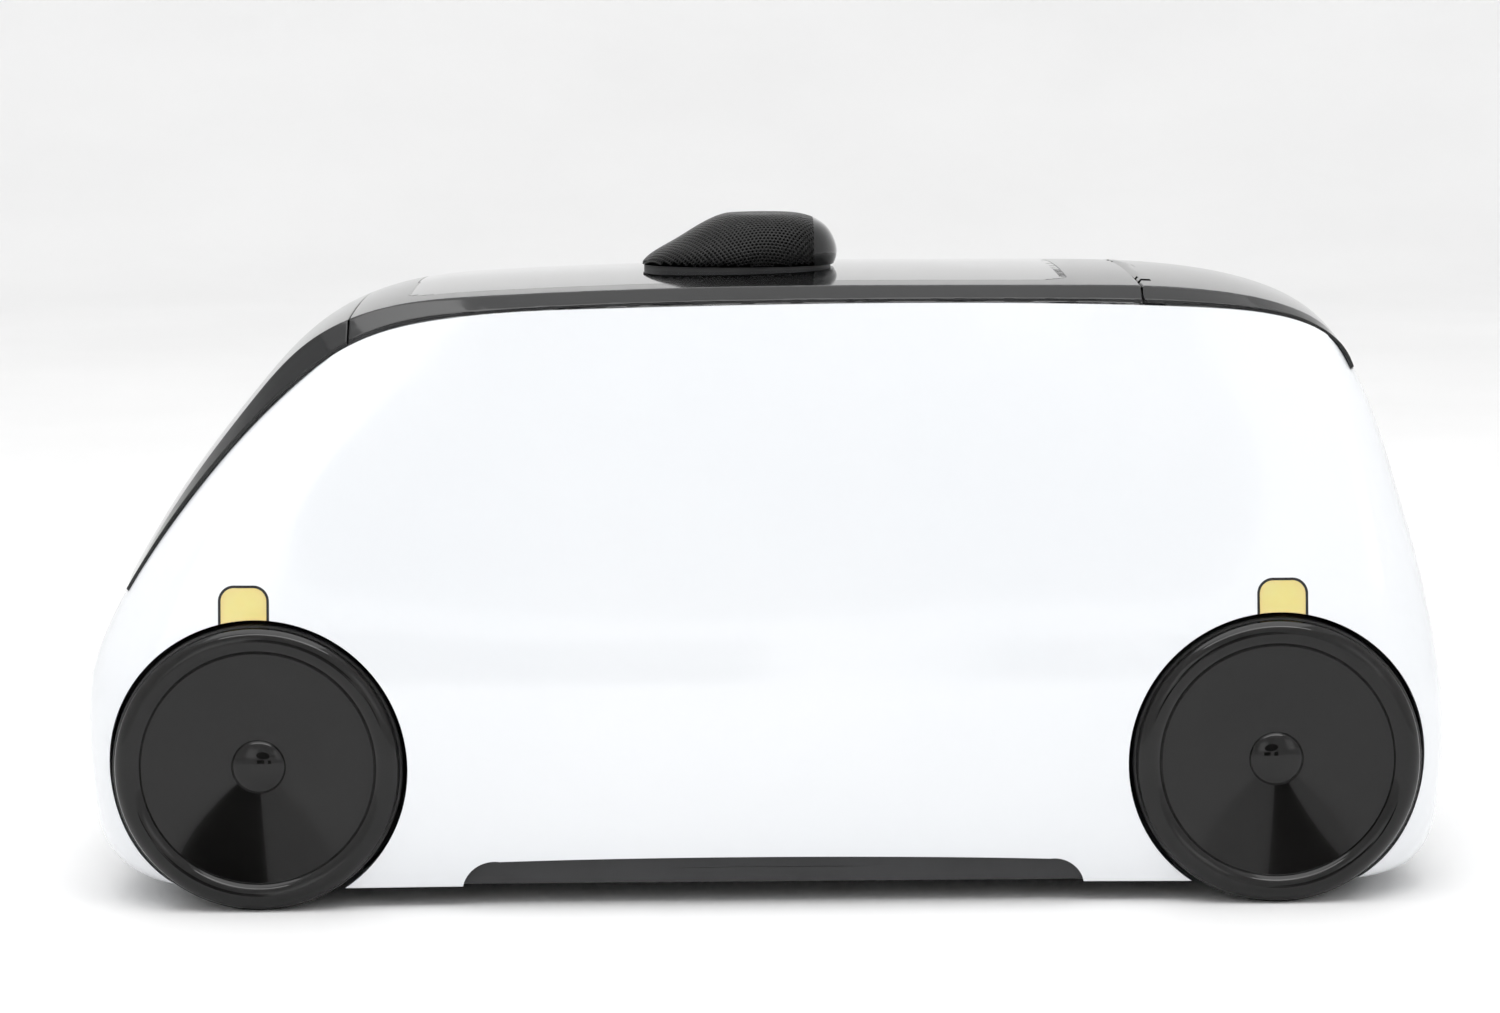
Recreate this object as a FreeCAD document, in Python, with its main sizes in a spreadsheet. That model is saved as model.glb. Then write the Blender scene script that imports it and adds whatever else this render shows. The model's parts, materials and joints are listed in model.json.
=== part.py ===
import FreeCAD, Part

import math
import os
import re

# Four-wheeled delivery robot car: white clam-shell body, black glass roof strip, roof pod, skid-steer
# drive with one geared motor per wheel.  +X is forward, +Y is the car's left, +Z is up; the origin is
# on the ground under the middle of the car.  Millimetres.

doc = FreeCAD.newDocument("robot_car")
sheet = doc.addObject("Spreadsheet::Sheet", "sizes")

SIZES = {
    "wheel_base": 310.0, "wheel_radius": 44.0, "wheel_face": 93.0, "wheel_back": 66.0,
    "bead_inner": 35.2, "bead_outer": 43.2, "bead_height": 2.6, "dish_depth": 3.6,
    "dome_radius": 8.3, "dome_height": 2.8, "disc_wall": 2.4, "tyre_inner": 41.0, "tyre_shoulder": 1.0,
    "axle_radius": 3.0, "axle_bore": 3.02, "axle_inner": 36.5, "axle_outer": 84.0, "hub_radius": 8.5,
    "bearing_radius": 6.0, "bearing_width": 4.0, "bearing_in": 38.0, "bearing_out": 58.0,
    "tooth_module": 0.8, "gear_teeth": 48.0, "pinion_teeth": 16.0, "gear_back": 46.0,
    "gear_width": 6.0, "pinion_back": 45.0, "pinion_width": 8.0, "pinion_shaft": 1.5,
    "motor_radius": 12.0, "motor_back": 8.0, "motor_length": 30.0, "motor_boss": 3.4,
    "plate_thick": 4.0, "floor_low": 8.0, "floor_high": 11.0, "shell_wall": 2.8, "arch_radius": 45.6,
    "tub_radius": 48.5, "tub_wall": 2.0, "tub_side": 62.0, "tub_depth": 72.0,
    "skirt_half": 98.0, "skirt_low": 6.5, "skirt_high": 16.5, "skirt_side": 83.3, "skirt_wall": 2.5,
    "strip_half": 72.0, "shoulder_half": 66.0, "opening_half": 64.0, "strip_thick": 3.2,
    "front_seam": 127.0, "seam_gap": 0.4, "hatch_axis": -119.6, "hatch_pin_height": 185.0,
    "hatch_nose": 4.2, "pin_radius": 0.8, "pin_bore": 0.85, "knuckle_radius": 2.0,
    "hinge_side": 45.0, "hinge_half": 8.0, "lug_width": 4.0, "lug_gap": 0.4,
    "window_front": 110.0, "window_rear": -94.0, "window_half": 54.0, "window_thick": 1.2,
    "marker_front": 158.2, "marker_rear": -156.0, "marker_width": 13.9, "marker_top": 100.0,
    "marker_corner": 4.0, "seal_width": 0.8,
    "boss_radius": 4.0, "boss_top": 26.0, "boss_x": 72.0, "boss_y": 76.6, "nose_x": 178.0,
    "nose_y": 24.0, "screw_radius": 1.5, "screw_head": 2.9, "screw_head_height": 1.7,
    "accessory_x": 65.0, "accessory_y": 42.0, "accessory_radius": 1.6,
    "board_low": 60.0, "board_thick": 1.6, "standoff_radius": 3.0, "driver_low": 17.0,
}
for row, (alias, number) in enumerate(SIZES.items(), start=1):
    sheet.set("A%d" % row, alias)
    sheet.set("B%d" % row, str(number))
    sheet.setAlias("B%d" % row, alias)
doc.recompute()

ALIAS = re.compile(r"[a-z]+_[a-z_]+")


def linked(expression):
    """Point every alias in an expression at the sheet."""
    return ALIAS.sub(lambda found: "sizes." + found.group(0), expression)


def value(expression):
    return float(sheet.evalExpression(linked(expression)))


def bind(thing, prop, expression):
    thing.setExpression(prop, linked(expression))


def place(thing, at, along=None):
    """Put an object at three expressions; along turns its own Z axis to Y (or -Y)."""
    turn = FreeCAD.Rotation()
    if along == "Y":
        turn = FreeCAD.Rotation(FreeCAD.Vector(1, 0, 0), -90)
    if along == "-Y":
        turn = FreeCAD.Rotation(FreeCAD.Vector(1, 0, 0), 90)
    thing.Placement = FreeCAD.Placement(FreeCAD.Vector(), turn)
    for letter, expression in zip("xyz", at):
        bind(thing, ".Placement.Base." + letter, expression)
    return thing


def new(kind, name):
    return doc.addObject(kind, name)


def box(name, size, at):
    made = new("Part::Box", name)
    for prop, expression in zip(("Length", "Width", "Height"), size):
        bind(made, prop, expression)
    return place(made, at)


def span_box(name, low, high):
    """A box between two corners, each given as three expressions."""
    size = ["(%s) - (%s)" % (top, bottom) for bottom, top in zip(low, high)]
    return box(name, size, low)


def side_box(name, side, x_span, y_span, z_span):
    """A box on the left (side 1) or its mirror image on the right (side -1)."""
    y_low, y_high = y_span
    if side < 0:
        y_low, y_high = "-(%s)" % y_span[1], "-(%s)" % y_span[0]
    return span_box(name, (x_span[0], y_low, z_span[0]), (x_span[1], y_high, z_span[1]))


def cylinder(name, radius, length, at, along=None):
    made = new("Part::Cylinder", name)
    bind(made, "Radius", radius)
    bind(made, "Height", length)
    return place(made, at, along)


def side_cylinder(name, side, radius, x, y_span, z):
    """A cylinder along Y between two distances from the middle plane, on one side."""
    y_start = y_span[0] if side > 0 else "-(%s)" % y_span[0]
    length = "(%s) - (%s)" % (y_span[1], y_span[0])
    return cylinder(name, radius, length, (x, y_start, z), "Y" if side > 0 else "-Y")


def cut(name, base, tool):
    made = new("Part::Cut", name)
    made.Base = base
    made.Tool = tool
    return made


def common(name, base, tool):
    made = new("Part::Common", name)
    made.Base = base
    made.Tool = tool
    return made


def fuse(name, pieces):
    made = new("Part::MultiFuse", name)
    made.Shapes = pieces
    return made


def group(name, pieces):
    made = new("Part::Compound", name)
    made.Links = pieces
    return made


def mirrored(name, source):
    """The right-hand twin of a left-hand piece."""
    made = new("Part::Mirroring", name)
    made.Source = source
    made.Normal = FreeCAD.Vector(0, 1, 0)
    return made


NODES = []


def node(thing, label):
    thing.Label = label
    NODES.append(thing)
    return thing


# ---------------------------------------------------------------- sketches and bodies


def origin_plane(body, role):
    for feature in body.Origin.OriginFeatures:
        if feature.Role == role:
            return feature
    raise ValueError(role)


def sketch_on(body, name, role="XY_Plane"):
    sketch = body.newObject("Sketcher::SketchObject", name)
    sketch.AttachmentSupport = (origin_plane(body, role), [""])
    sketch.MapMode = "FlatFace"
    return sketch


def pin_down(sketch, geometry, corner, expressions):
    """Fix one end of a sketch edge by its distances from the sketch's origin."""
    import Sketcher
    for kind, expression in zip(("DistanceX", "DistanceY"), expressions):
        distance = value(expression)
        index = sketch.addConstraint(Sketcher.Constraint(kind, -1, 1, geometry, corner, distance))
        sketch.setExpression("Constraints[%d]" % index, linked(expression))


def outline(sketch, corners):
    """Close an outline through corners.  A corner given as ("arc", through) makes the edge that
    reaches the next corner an arc through that point."""
    points = [corner for corner in corners if corner[0] != "arc"]
    bulges = {}
    for corner in corners:
        if corner[0] == "arc":
            bulges[last] = corner[1]
        else:
            last = points.index(corner)
    count = len(points)
    for start, corner in enumerate(points):
        first = FreeCAD.Vector(value(corner[0]), value(corner[1]), 0)
        following = points[(start + 1) % count]
        second = FreeCAD.Vector(value(following[0]), value(following[1]), 0)
        if start in bulges:
            middle = FreeCAD.Vector(value(bulges[start][0]), value(bulges[start][1]), 0)
            arc = Part.Arc(first, middle, second)
            sketch.addGeometry(arc, False)
        else:
            sketch.addGeometry(Part.LineSegment(first, second), False)
            pin_down(sketch, start, 1, corner)
            pin_down(sketch, start, 2, following)


def revolved_body(name, corners):
    """A body turned about its own Y axis from an outline of radius and distance along the axis."""
    body = new("PartDesign::Body", name)
    sketch = sketch_on(body, name + "_profile")
    outline(sketch, corners)
    turned = body.newObject("PartDesign::Revolution", name + "_turned")
    turned.Profile = sketch
    turned.ReferenceAxis = (sketch, ["V_Axis"])
    turned.Angle = 360.0
    body.Tip = turned
    return body


def plate_body(name, width, depth, thick, holes=(), corner=None):
    """A rectangular plate, centred on its own origin, with through holes (x, y, radius)."""
    body = new("PartDesign::Body", name)
    sketch = sketch_on(body, name + "_outline")
    half_x, half_y = "(%s) / 2" % width, "(%s) / 2" % depth
    outline(sketch, [("-" + half_x, "-" + half_y), (half_x, "-" + half_y),
                     (half_x, half_y), ("-" + half_x, half_y)])
    for x, y, radius in holes:
        centre = FreeCAD.Vector(value(x), value(y), 0)
        hole = sketch.addGeometry(Part.Circle(centre, FreeCAD.Vector(0, 0, 1), value(radius)), False)
        pin_down(sketch, hole, 3, (x, y))
    pad = body.newObject("PartDesign::Pad", name + "_pad")
    pad.Profile = sketch
    bind(pad, "Length", thick)
    body.Tip = pad
    return body


def toothed_body(name, teeth, width, bore, shaft=None):
    """An involute spur gear along its own Z axis, with a tooth (or, for the pinion, a gap) on +X."""
    import Sketcher
    tooth_module = value("tooth_module")
    count = int(value(teeth))
    pitch = tooth_module * count / 2
    base = pitch * math.cos(math.radians(20))
    root = pitch - 1.25 * tooth_module
    tip = pitch + 0.95 * tooth_module
    backlash = 0.16

    def involute(radius):
        angle = math.acos(min(1.0, base / radius))
        return math.tan(angle) - angle

    def flank(radius, sign):
        thick = math.pi / (2 * count) - backlash / (2 * pitch)
        half = thick + involute(pitch) - involute(max(radius, base))
        turned = sign * half + first_angle
        return FreeCAD.Vector(radius * math.cos(turned), radius * math.sin(turned), 0)

    first_angle = 0.0 if shaft is None else math.pi / count
    body = new("PartDesign::Body", name)
    disc_sketch = sketch_on(body, name + "_root")
    disc_sketch.addGeometry(Part.Circle(FreeCAD.Vector(), FreeCAD.Vector(0, 0, 1), root), False)
    disc_sketch.addConstraint(Sketcher.Constraint("Coincident", 0, 3, -1, 1))
    size = disc_sketch.addConstraint(Sketcher.Constraint("Radius", 0, root))
    disc_sketch.setExpression("Constraints[%d]" % size, linked("tooth_module * (%s / 2 - 1.25)" % teeth))
    disc = body.newObject("PartDesign::Pad", name + "_disc")
    disc.Profile = disc_sketch
    bind(disc, "Length", width)
    tooth_sketch = sketch_on(body, name + "_tooth")
    low = max(root, base)
    inner = root - 0.4 * tooth_module
    middle = (low + tip) / 2
    left_foot, right_foot = flank(inner, 1), flank(inner, -1)
    left_low, right_low = flank(low, 1), flank(low, -1)
    left_tip, right_tip = flank(tip, 1), flank(tip, -1)
    crest = FreeCAD.Vector(tip * math.cos(first_angle), tip * math.sin(first_angle), 0)
    for edge in (Part.LineSegment(right_foot, right_low), Part.Arc(right_low, flank(middle, -1), right_tip),
                 Part.Arc(right_tip, crest, left_tip), Part.Arc(left_tip, flank(middle, 1), left_low),
                 Part.LineSegment(left_low, left_foot), Part.LineSegment(left_foot, right_foot)):
        tooth_sketch.addGeometry(edge, False)
    tooth = body.newObject("PartDesign::Pad", name + "_one_tooth")
    tooth.Profile = tooth_sketch
    bind(tooth, "Length", width)
    pattern = body.newObject("PartDesign::PolarPattern", name + "_teeth")
    pattern.Originals = [tooth]
    pattern.Axis = (disc_sketch, ["N_Axis"])
    pattern.Angle = 360.0
    bind(pattern, "Occurrences", teeth)
    body.Tip = pattern
    if bore:
        bore_sketch = sketch_on(body, name + "_bore_circle")
        bore_sketch.addGeometry(Part.Circle(FreeCAD.Vector(), FreeCAD.Vector(0, 0, 1), value(bore)), False)
        bore_sketch.addConstraint(Sketcher.Constraint("Coincident", 0, 3, -1, 1))
        size = bore_sketch.addConstraint(Sketcher.Constraint("Radius", 0, value(bore)))
        bore_sketch.setExpression("Constraints[%d]" % size, linked(bore))
        hole = body.newObject("PartDesign::Pocket", name + "_bore")
        hole.Profile = bore_sketch
        hole.Type = "ThroughAll"
        hole.SideType = "Symmetric"
        body.Tip = hole
    if shaft:
        radius, back, front = shaft
        shaft_sketch = sketch_on(body, name + "_shaft_circle")
        shaft_sketch.addGeometry(Part.Circle(FreeCAD.Vector(), FreeCAD.Vector(0, 0, 1), value(radius)), False)
        shaft_sketch.addConstraint(Sketcher.Constraint("Coincident", 0, 3, -1, 1))
        size = shaft_sketch.addConstraint(Sketcher.Constraint("Radius", 0, value(radius)))
        shaft_sketch.setExpression("Constraints[%d]" % size, linked(radius))
        bar = body.newObject("PartDesign::Pad", name + "_shaft")
        bar.Profile = shaft_sketch
        bar.SideType = "Two sides"
        bind(bar, "Length", front)
        bind(bar, "Length2", back)
        body.Tip = bar
    return body


# ---------------------------------------------------------------- body shape
# Rings round the body at rising heights: height, nose and tail on the middle plane, half width,
# and the radius of the plan's corners.  The nose and the tail bow forward and back by END_BOW.
# The left half is built, and the right half is its mirror image.
RINGS = [
    (5.8, 187.2, -192.4, 86.3, 19.6),
    (9.0, 199.0, -202.8, 87.5, 22.0),
    (16.0, 206.0, -207.8, 89.1, 23.0),
    (30.0, 210.2, -210.8, 90.9, 24.0),
    (50.0, 211.6, -211.8, 92.0, 24.0),
    (68.0, 210.7, -210.3, 91.8, 24.0),
    (85.0, 204.7, -207.3, 90.3, 23.0),
    (100.0, 196.5, -203.8, 88.3, 21.0),
    (124.0, 179.6, -196.8, 84.6, 17.0),
    (150.0, 157.2, -188.5, 80.0, 13.0),
    (170.0, 135.0, -178.9, 76.0, 9.0),
    (188.0, 113.0, -168.0, 72.4, 6.0),
]
END_BOW = 4.0
SIDE_TAPER = 0.015
HALF_LENGTH = 210.0
FACE_STEPS = (0.0, 0.35, 0.7)
CORNER_ANGLES = (0.0, 22.5, 45.0, 67.5, 90.0)
SIDE_STEPS = (0.2, 0.4, 0.6, 0.8)


def end_corner(end, half_width, corner):
    """Points from an end's middle round its left corner; the end's sign gives its direction."""
    points = []
    sign = math.copysign(1.0, end)
    flat = half_width - corner
    for step in FACE_STEPS:
        points.append((step * flat, 0.0))
    for angle in CORNER_ANGLES:
        turned = math.radians(angle)
        points.append((flat + corner * math.sin(turned), corner * (1 - math.cos(turned))))
    return [(end - sign * (END_BOW * (y / half_width) ** 2 + drop), y) for y, drop in points]


def half_points(nose, tail, half_width, corner):
    """From the nose's middle round the car's left side to the tail's middle."""
    left = end_corner(nose, half_width, corner)
    back = end_corner(tail, half_width, corner)
    start, stop = left[-1][0], back[-1][0]
    along = [(start + (stop - start) * step, half_width) for step in SIDE_STEPS]
    half = left + along + back[::-1]
    return [(x, y * (1 - SIDE_TAPER * (x / HALF_LENGTH) ** 2)) for x, y in half]


def half_ring(name, height, nose, tail, half_width, corner, past=0.0):
    """The left half of a ring, closed along the middle plane or a little past it."""
    half = half_points(nose, tail, half_width, corner)
    if past:
        half = [(half[0][0], -past)] + half + [(half[-1][0], -past)]
    knots = [FreeCAD.Vector(x, y, height) for x, y in half]
    curve = Part.BSplineCurve()
    curve.interpolate(Points=knots, InitialTangent=FreeCAD.Vector(0, 1, 0), FinalTangent=FreeCAD.Vector(0, -1, 0))
    wire = new("Part::Feature", name)
    wire.Shape = Part.Wire([curve.toShape(), Part.LineSegment(knots[-1], knots[0]).toShape()])
    return wire


def loft(name, sections, ruled=False):
    made = new("Part::Loft", name)
    made.Sections = sections
    made.Solid = True
    made.Ruled = ruled
    return made


def inset_ring(ring, inset, drop):
    """A ring moved inwards; low down, where the body tucks under, the wall is cut further in."""
    height, nose, tail, half_width, corner = ring
    deep = inset + 0.035 * max(0.0, 20.0 - height) ** 2
    return (height - drop, nose - deep, tail + deep, half_width - inset, corner - 0.6 * inset)


wall = value("shell_wall")
outer_rings = [half_ring("outer_ring_%d" % index, *ring) for index, ring in enumerate(RINGS)]
inner_rings = [half_ring("inner_ring_%d" % index, *inset_ring(ring, wall, 1.0 if ring[0] > 60 else 0.0), past=4.0)
               for index, ring in enumerate(RINGS)]
body_block = loft("body_block", outer_rings)
body_hollow = loft("body_hollow", inner_rings)

# Side outline of the white body's top edge, from the front to the back.
TOP_EDGE = [(175.8, 124.4), (157.1, 146.1), (138.5, 163.0), (120.0, 173.9), (98.7, 178.9), (50.0, 181.8),
            (-23.0, 182.9), (-84.0, 182.5), (-132.0, 181.0), (-156.8, 178.2), (-168.0, 174.3),
            (-175.6, 168.6)]


def spline_edge(points, y=0.0):
    curve = Part.BSplineCurve()
    curve.interpolate(Points=[FreeCAD.Vector(x, y, z) for x, z in points])
    return curve.toShape()


def flat_prism(name, edges, length, start):
    """A closed outline in the XZ plane, extruded along +Y from start."""
    face = new("Part::Feature", name + "_outline")
    face.Shape = Part.Face(Part.Wire(edges))
    made = new("Part::Extrusion", name)
    made.Base = face
    made.DirMode = "Custom"
    made.Dir = FreeCAD.Vector(0, 1, 0)
    made.Solid = True
    bind(made, "LengthFwd", length)
    bind(made, ".Placement.Base.y", start)
    return made


def line(first, second, y=0.0):
    return Part.LineSegment(FreeCAD.Vector(first[0], y, first[1]),
                            FreeCAD.Vector(second[0], y, second[1])).toShape()


def under_top(name, drop, floor):
    """Everything between a floor and the top edge line: it trims the roof of the body, but not its ends."""
    crest = [(x, z - drop) for x, z in TOP_EDGE[2:]]
    first, last = crest[0], crest[-1]
    front = [(160.0, first[1] - 6.0), (240.0, 60.0), (240.0, floor), (-240.0, floor), (-240.0, 110.0)]
    path = [first] + front + [last]
    edges = [spline_edge(crest)]
    for start, end in zip(path, path[1:]):
        edges.append(line(start, end))
    return flat_prism(name, Part.__sortEdges__(edges), "220", "-110")


body_solid = common("body_solid", body_block, under_top("roof_trim", 0.0, 6.3))
body_cavity = common("body_cavity", body_hollow, under_top("ceiling_trim", wall, -20.0))
body_wall = cut("body_wall", body_solid, body_cavity)

# ---------------------------------------------------------------- black strip over the car
# SHOULDER is the edge of the strip's top face, EDGE the line where the strip meets the white body.
SHOULDER = [(196.2, 97.0), (176.5, 128.6), (157.6, 153.1), (138.8, 172.2), (120.0, 181.0), (86.0, 185.4),
            (0.0, 187.8), (-90.0, 187.6), (-140.0, 185.2), (-161.0, 180.3), (-170.5, 175.3),
            (-176.4, 169.0), (-180.3, 161.8)]
EDGE = [(195.0, 96.2), (175.8, 124.4), (157.1, 146.1), (138.5, 163.0), (120.0, 173.9), (86.0, 180.0),
        (0.0, 182.7), (-90.0, 182.6), (-140.0, 180.6), (-161.0, 176.9), (-169.5, 173.0), (-174.0, 169.6),
        (-178.6, 161.8)]
ROOF_CROWN = 2.2


def pushed(points, distance):
    """Points moved outwards (up and away from the body) by a distance along their normals."""
    moved = []
    for index, (x, z) in enumerate(points):
        before = points[max(index - 1, 0)]
        after = points[min(index + 1, len(points) - 1)]
        run, rise = after[0] - before[0], after[1] - before[1]
        length = math.hypot(run, rise)
        moved.append((x + rise / length * distance, z - run / length * distance))
    return moved


def crowned(points, y):
    """The strip's top face rises to the middle plane, and its ends bow forward and back."""
    rise = 1 - (y / value("shoulder_half")) ** 2
    return [(x + 3.0 * rise * (x / 196.0) ** 3, z + ROOF_CROWN * rise) for x, z in points]


def strip_section(name, y):
    thick = value("strip_thick")
    if abs(y) > value("shoulder_half"):
        top, bottom = pushed(EDGE, 1.2), pushed(EDGE, 0.2)
    else:
        top = crowned(SHOULDER, y)
        bottom = pushed(top, -thick)
    wire = new("Part::Feature", name)
    wire.Shape = Part.Wire([spline_edge(top, y), line(top[-1], bottom[-1], y),
                            spline_edge(bottom[::-1], y), line(bottom[0], top[0], y)])
    return wire


strip_stations = [-value("strip_half"), -value("shoulder_half"), -44.0, -22.0, 0.0, 22.0, 44.0,
                  value("shoulder_half"), value("strip_half")]
strip = loft("roof_strip", [strip_section("strip_section_%d" % index, y)
                            for index, y in enumerate(strip_stations)], ruled=True)
seam_low = "front_seam - seam_gap / 2"
windshield_room = span_box("windshield_room", ("front_seam + seam_gap / 2", "-100", "60"), ("230", "100", "230"))
windshield = node(common("windshield_solid", strip, windshield_room), "windshield")
roof_rear = "hatch_axis + hatch_nose + seam_gap"
roof_room = span_box("roof_room", (roof_rear, "-100", "150"), (seam_low, "100", "230"))
roof_blank = common("roof_blank", strip, roof_room)

# The inlaid roof window is the top skin of the roof panel inside a rounded rectangle.
lowered = new("Part::Feature", "strip_lowered")
doc.recompute()
lowered.Shape = strip.Shape.translated(FreeCAD.Vector(0, 0, -value("window_thick")))
window_block = span_box("window_block", ("window_rear", "-window_half", "150"),
                        ("window_front", "window_half", "230"))
window_corners = new("Part::Fillet", "window_corners")
window_corners.Base = window_block
doc.recompute()
upright = [index + 1 for index, edge in enumerate(window_block.Shape.Edges)
           if abs(edge.tangentAt(edge.FirstParameter).z) > 0.9]
window_corners.Edges = [(index, 10.0, 10.0) for index in upright]
window_skin = cut("window_skin", roof_blank, lowered)
window = node(common("window_solid", window_skin, window_corners), "roof_window")
roof_recessed = cut("roof_recessed", roof_blank, window)

# The hatch's front edge is rounded about its hinge axis, so it can turn up behind the roof panel.
nose_round = cylinder("hatch_nose_round", "hatch_nose", "160", ("hatch_axis", "-80", "hatch_pin_height"), "Y")
hatch_space = span_box("hatch_space", ("-230", "-100", "60"), ("hatch_axis", "100", "230"))
hatch_room = fuse("hatch_room", [hatch_space, nose_round])
hatch_blank = common("hatch_blank", strip, hatch_room)
hatch_knuckles = []
notches = []
lugs = []
pins = []
for side in (1, -1):
    tag = "left" if side > 0 else "right"
    middle = "hinge_side" if side > 0 else "-hinge_side"
    inner_half = "(hinge_half - lug_width - lug_gap)"
    hatch_knuckles.append(cylinder("hatch_knuckle_" + tag, "knuckle_radius", "2 * " + inner_half,
                                   ("hatch_axis", middle + " - " + inner_half, "hatch_pin_height"), "Y"))
    for end, start in (("inner", middle + " - hinge_half - lug_gap"),
                       ("outer", middle + " + hinge_half - lug_width - lug_gap")):
        name = tag + "_" + end
        notches.append(cylinder("hatch_notch_" + name, "knuckle_radius + 0.35", "lug_width + 2 * lug_gap",
                                ("hatch_axis", start, "hatch_pin_height"), "Y"))
        notches.append(span_box("nose_notch_" + name,
                                ("hatch_axis", start, "hatch_pin_height - 6"),
                                ("hatch_axis + 6", start + " + lug_width + 2 * lug_gap", "hatch_pin_height + 3.2")))
        lug_start = start + " + lug_gap"
        eye = cylinder("lug_eye_" + name, "knuckle_radius", "lug_width",
                       ("hatch_axis", lug_start, "hatch_pin_height"), "Y")
        post = span_box("lug_post_" + name,
                        ("hatch_axis - 1.7", lug_start, "hatch_pin_height - 11"),
                        ("hatch_axis + 1.7", lug_start + " + lug_width", "hatch_pin_height"))
        arm = span_box("lug_arm_" + name,
                       ("hatch_axis - 1.7", lug_start, "hatch_pin_height - 12"),
                       ("hatch_axis + 22", lug_start + " + lug_width", "hatch_pin_height - 9"))
        riser = span_box("lug_riser_" + name,
                         ("hatch_axis + 15", lug_start, "hatch_pin_height - 12"),
                         ("hatch_axis + 22", lug_start + " + lug_width", "hatch_pin_height + 2"))
        lug = fuse("lug_" + name, [eye, post, arm, riser])
        hole = cylinder("lug_hole_" + name, "pin_radius", "lug_width + 2",
                        ("hatch_axis", lug_start + " - 1", "hatch_pin_height"), "Y")
        lugs.append(cut("drilled_lug_" + name, cut("lug_under_roof_" + name, lug, strip), hole))
    pins.append(cylinder("hinge_pin_" + tag, "pin_radius", "2 * hinge_half + 1",
                         ("hatch_axis", middle + " - hinge_half - 0.5", "hatch_pin_height"), "Y"))
hatch_with_eyes = fuse("hatch_with_eyes", [cut("hatch_notched", hatch_blank, group("hatch_notches", notches))]
                       + hatch_knuckles)
hatch_bore = cylinder("hatch_bore", "pin_bore", "160", ("hatch_axis", "-80", "hatch_pin_height"), "Y")
hatch = node(cut("hatch_solid", hatch_with_eyes, hatch_bore), "rear_hatch")
node(group("hinge_pins", pins), "hatch_hinge_pins")
hinge_brackets = node(group("hinge_brackets", lugs), "hatch_hinge_brackets")
roof_panel = node(cut("roof_solid", roof_recessed, hinge_brackets), "roof_panel")

# ---------------------------------------------------------------- white shells
opening_crest = [(x, z - 12.0) for x, z in TOP_EDGE]
opening_edges = [spline_edge(opening_crest)]
opening_path = [opening_crest[0], (205.0, 98.0), (205.0, 240.0), (-215.0, 240.0), (-215.0, 164.0),
                opening_crest[-1]]
for start, end in zip(opening_path, opening_path[1:]):
    opening_edges.append(line(start, end))
top_opening = flat_prism("top_opening", Part.__sortEdges__(opening_edges), "2 * opening_half", "-opening_half")

strip_clearance = new("Part::Feature", "strip_clearance")
strip_clearance.Shape = strip.Shape.translated(FreeCAD.Vector(0.3, 0, -0.35))
hatch_clearance = common("hatch_clearance", strip_clearance, hatch_space)
nose_clearance = cylinder("nose_clearance", "hatch_nose + seam_gap", "160",
                          ("hatch_axis", "-80", "hatch_pin_height"), "Y")

notch_points = [(93.5, 0.0), (93.5, 6.0), (82.0, 14.2), (-86.0, 13.8), (-96.4, 6.0), (-96.4, 0.0)]
sill_top = Part.Arc(FreeCAD.Vector(82.0, 0, 14.2), FreeCAD.Vector(-2.0, 0, 15.3),
                    FreeCAD.Vector(-86.0, 0, 13.8)).toShape()
front_curl = Part.Arc(FreeCAD.Vector(93.5, 0, 6.0), FreeCAD.Vector(89.6, 0, 12.3),
                      FreeCAD.Vector(82.0, 0, 14.2)).toShape()
rear_curl = Part.Arc(FreeCAD.Vector(-86.0, 0, 13.8), FreeCAD.Vector(-92.8, 0, 12.0),
                     FreeCAD.Vector(-96.4, 0, 6.0)).toShape()
sill_edges = [sill_top, front_curl, rear_curl, line(notch_points[0], notch_points[1]),
              line(notch_points[4], notch_points[5]), line(notch_points[5], notch_points[0])]
sill_notch = flat_prism("sill_notch", Part.__sortEdges__(sill_edges), "220", "-110")

CORNERS = []
for side in (1, -1):
    for end in (1, -1):
        name = ("left" if side > 0 else "right") + ("_front" if end > 0 else "_rear")
        hub_x = "wheel_base / 2" if end > 0 else "-wheel_base / 2"
        CORNERS.append((name, side, end, hub_x))

LEFT_CORNERS = [corner for corner in CORNERS if corner[1] > 0]
arches = [side_cylinder("arch_" + name, side, "arch_radius", hub_x, ("60", "110"), "wheel_radius")
          for name, side, end, hub_x in LEFT_CORNERS]


def marker_prism(name, side, end, margin):
    """A tab with rounded top corners, through the side of the body."""
    centre = "marker_front" if end > 0 else "marker_rear"
    half = "(marker_width / 2 + %s)" % margin
    radius = "(marker_corner + %s)" % margin
    top = "(marker_top - seal_width + %s)" % margin
    shoulder = top + " - " + radius
    tall = side_box("tab_tall_" + name, side, (centre + " - " + half + " + " + radius,
                                               centre + " + " + half + " - " + radius), ("70", "100"), ("80", top))
    wide = side_box("tab_wide_" + name, side, (centre + " - " + half, centre + " + " + half),
                    ("70", "100"), ("80", shoulder))
    rounds = [side_cylinder("tab_round_%s_%s" % (name, way), side, radius,
                            "%s %s (%s - %s)" % (centre, sign, half, radius), ("70", "100"), shoulder)
              for way, sign in (("ahead", "+"), ("behind", "-"))]
    return fuse("tab_" + name, [tall, wide] + rounds)


trimmed_wall = body_wall
for name, tool in (("wall_opened", top_opening), ("wall_seated", strip),
                   ("wall_cleared", hatch_clearance), ("wall_relieved", nose_clearance),
                   ("wall_notched", sill_notch), ("wall_arched", group("arches", arches))):
    trimmed_wall = cut(name, trimmed_wall, tool)

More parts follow.
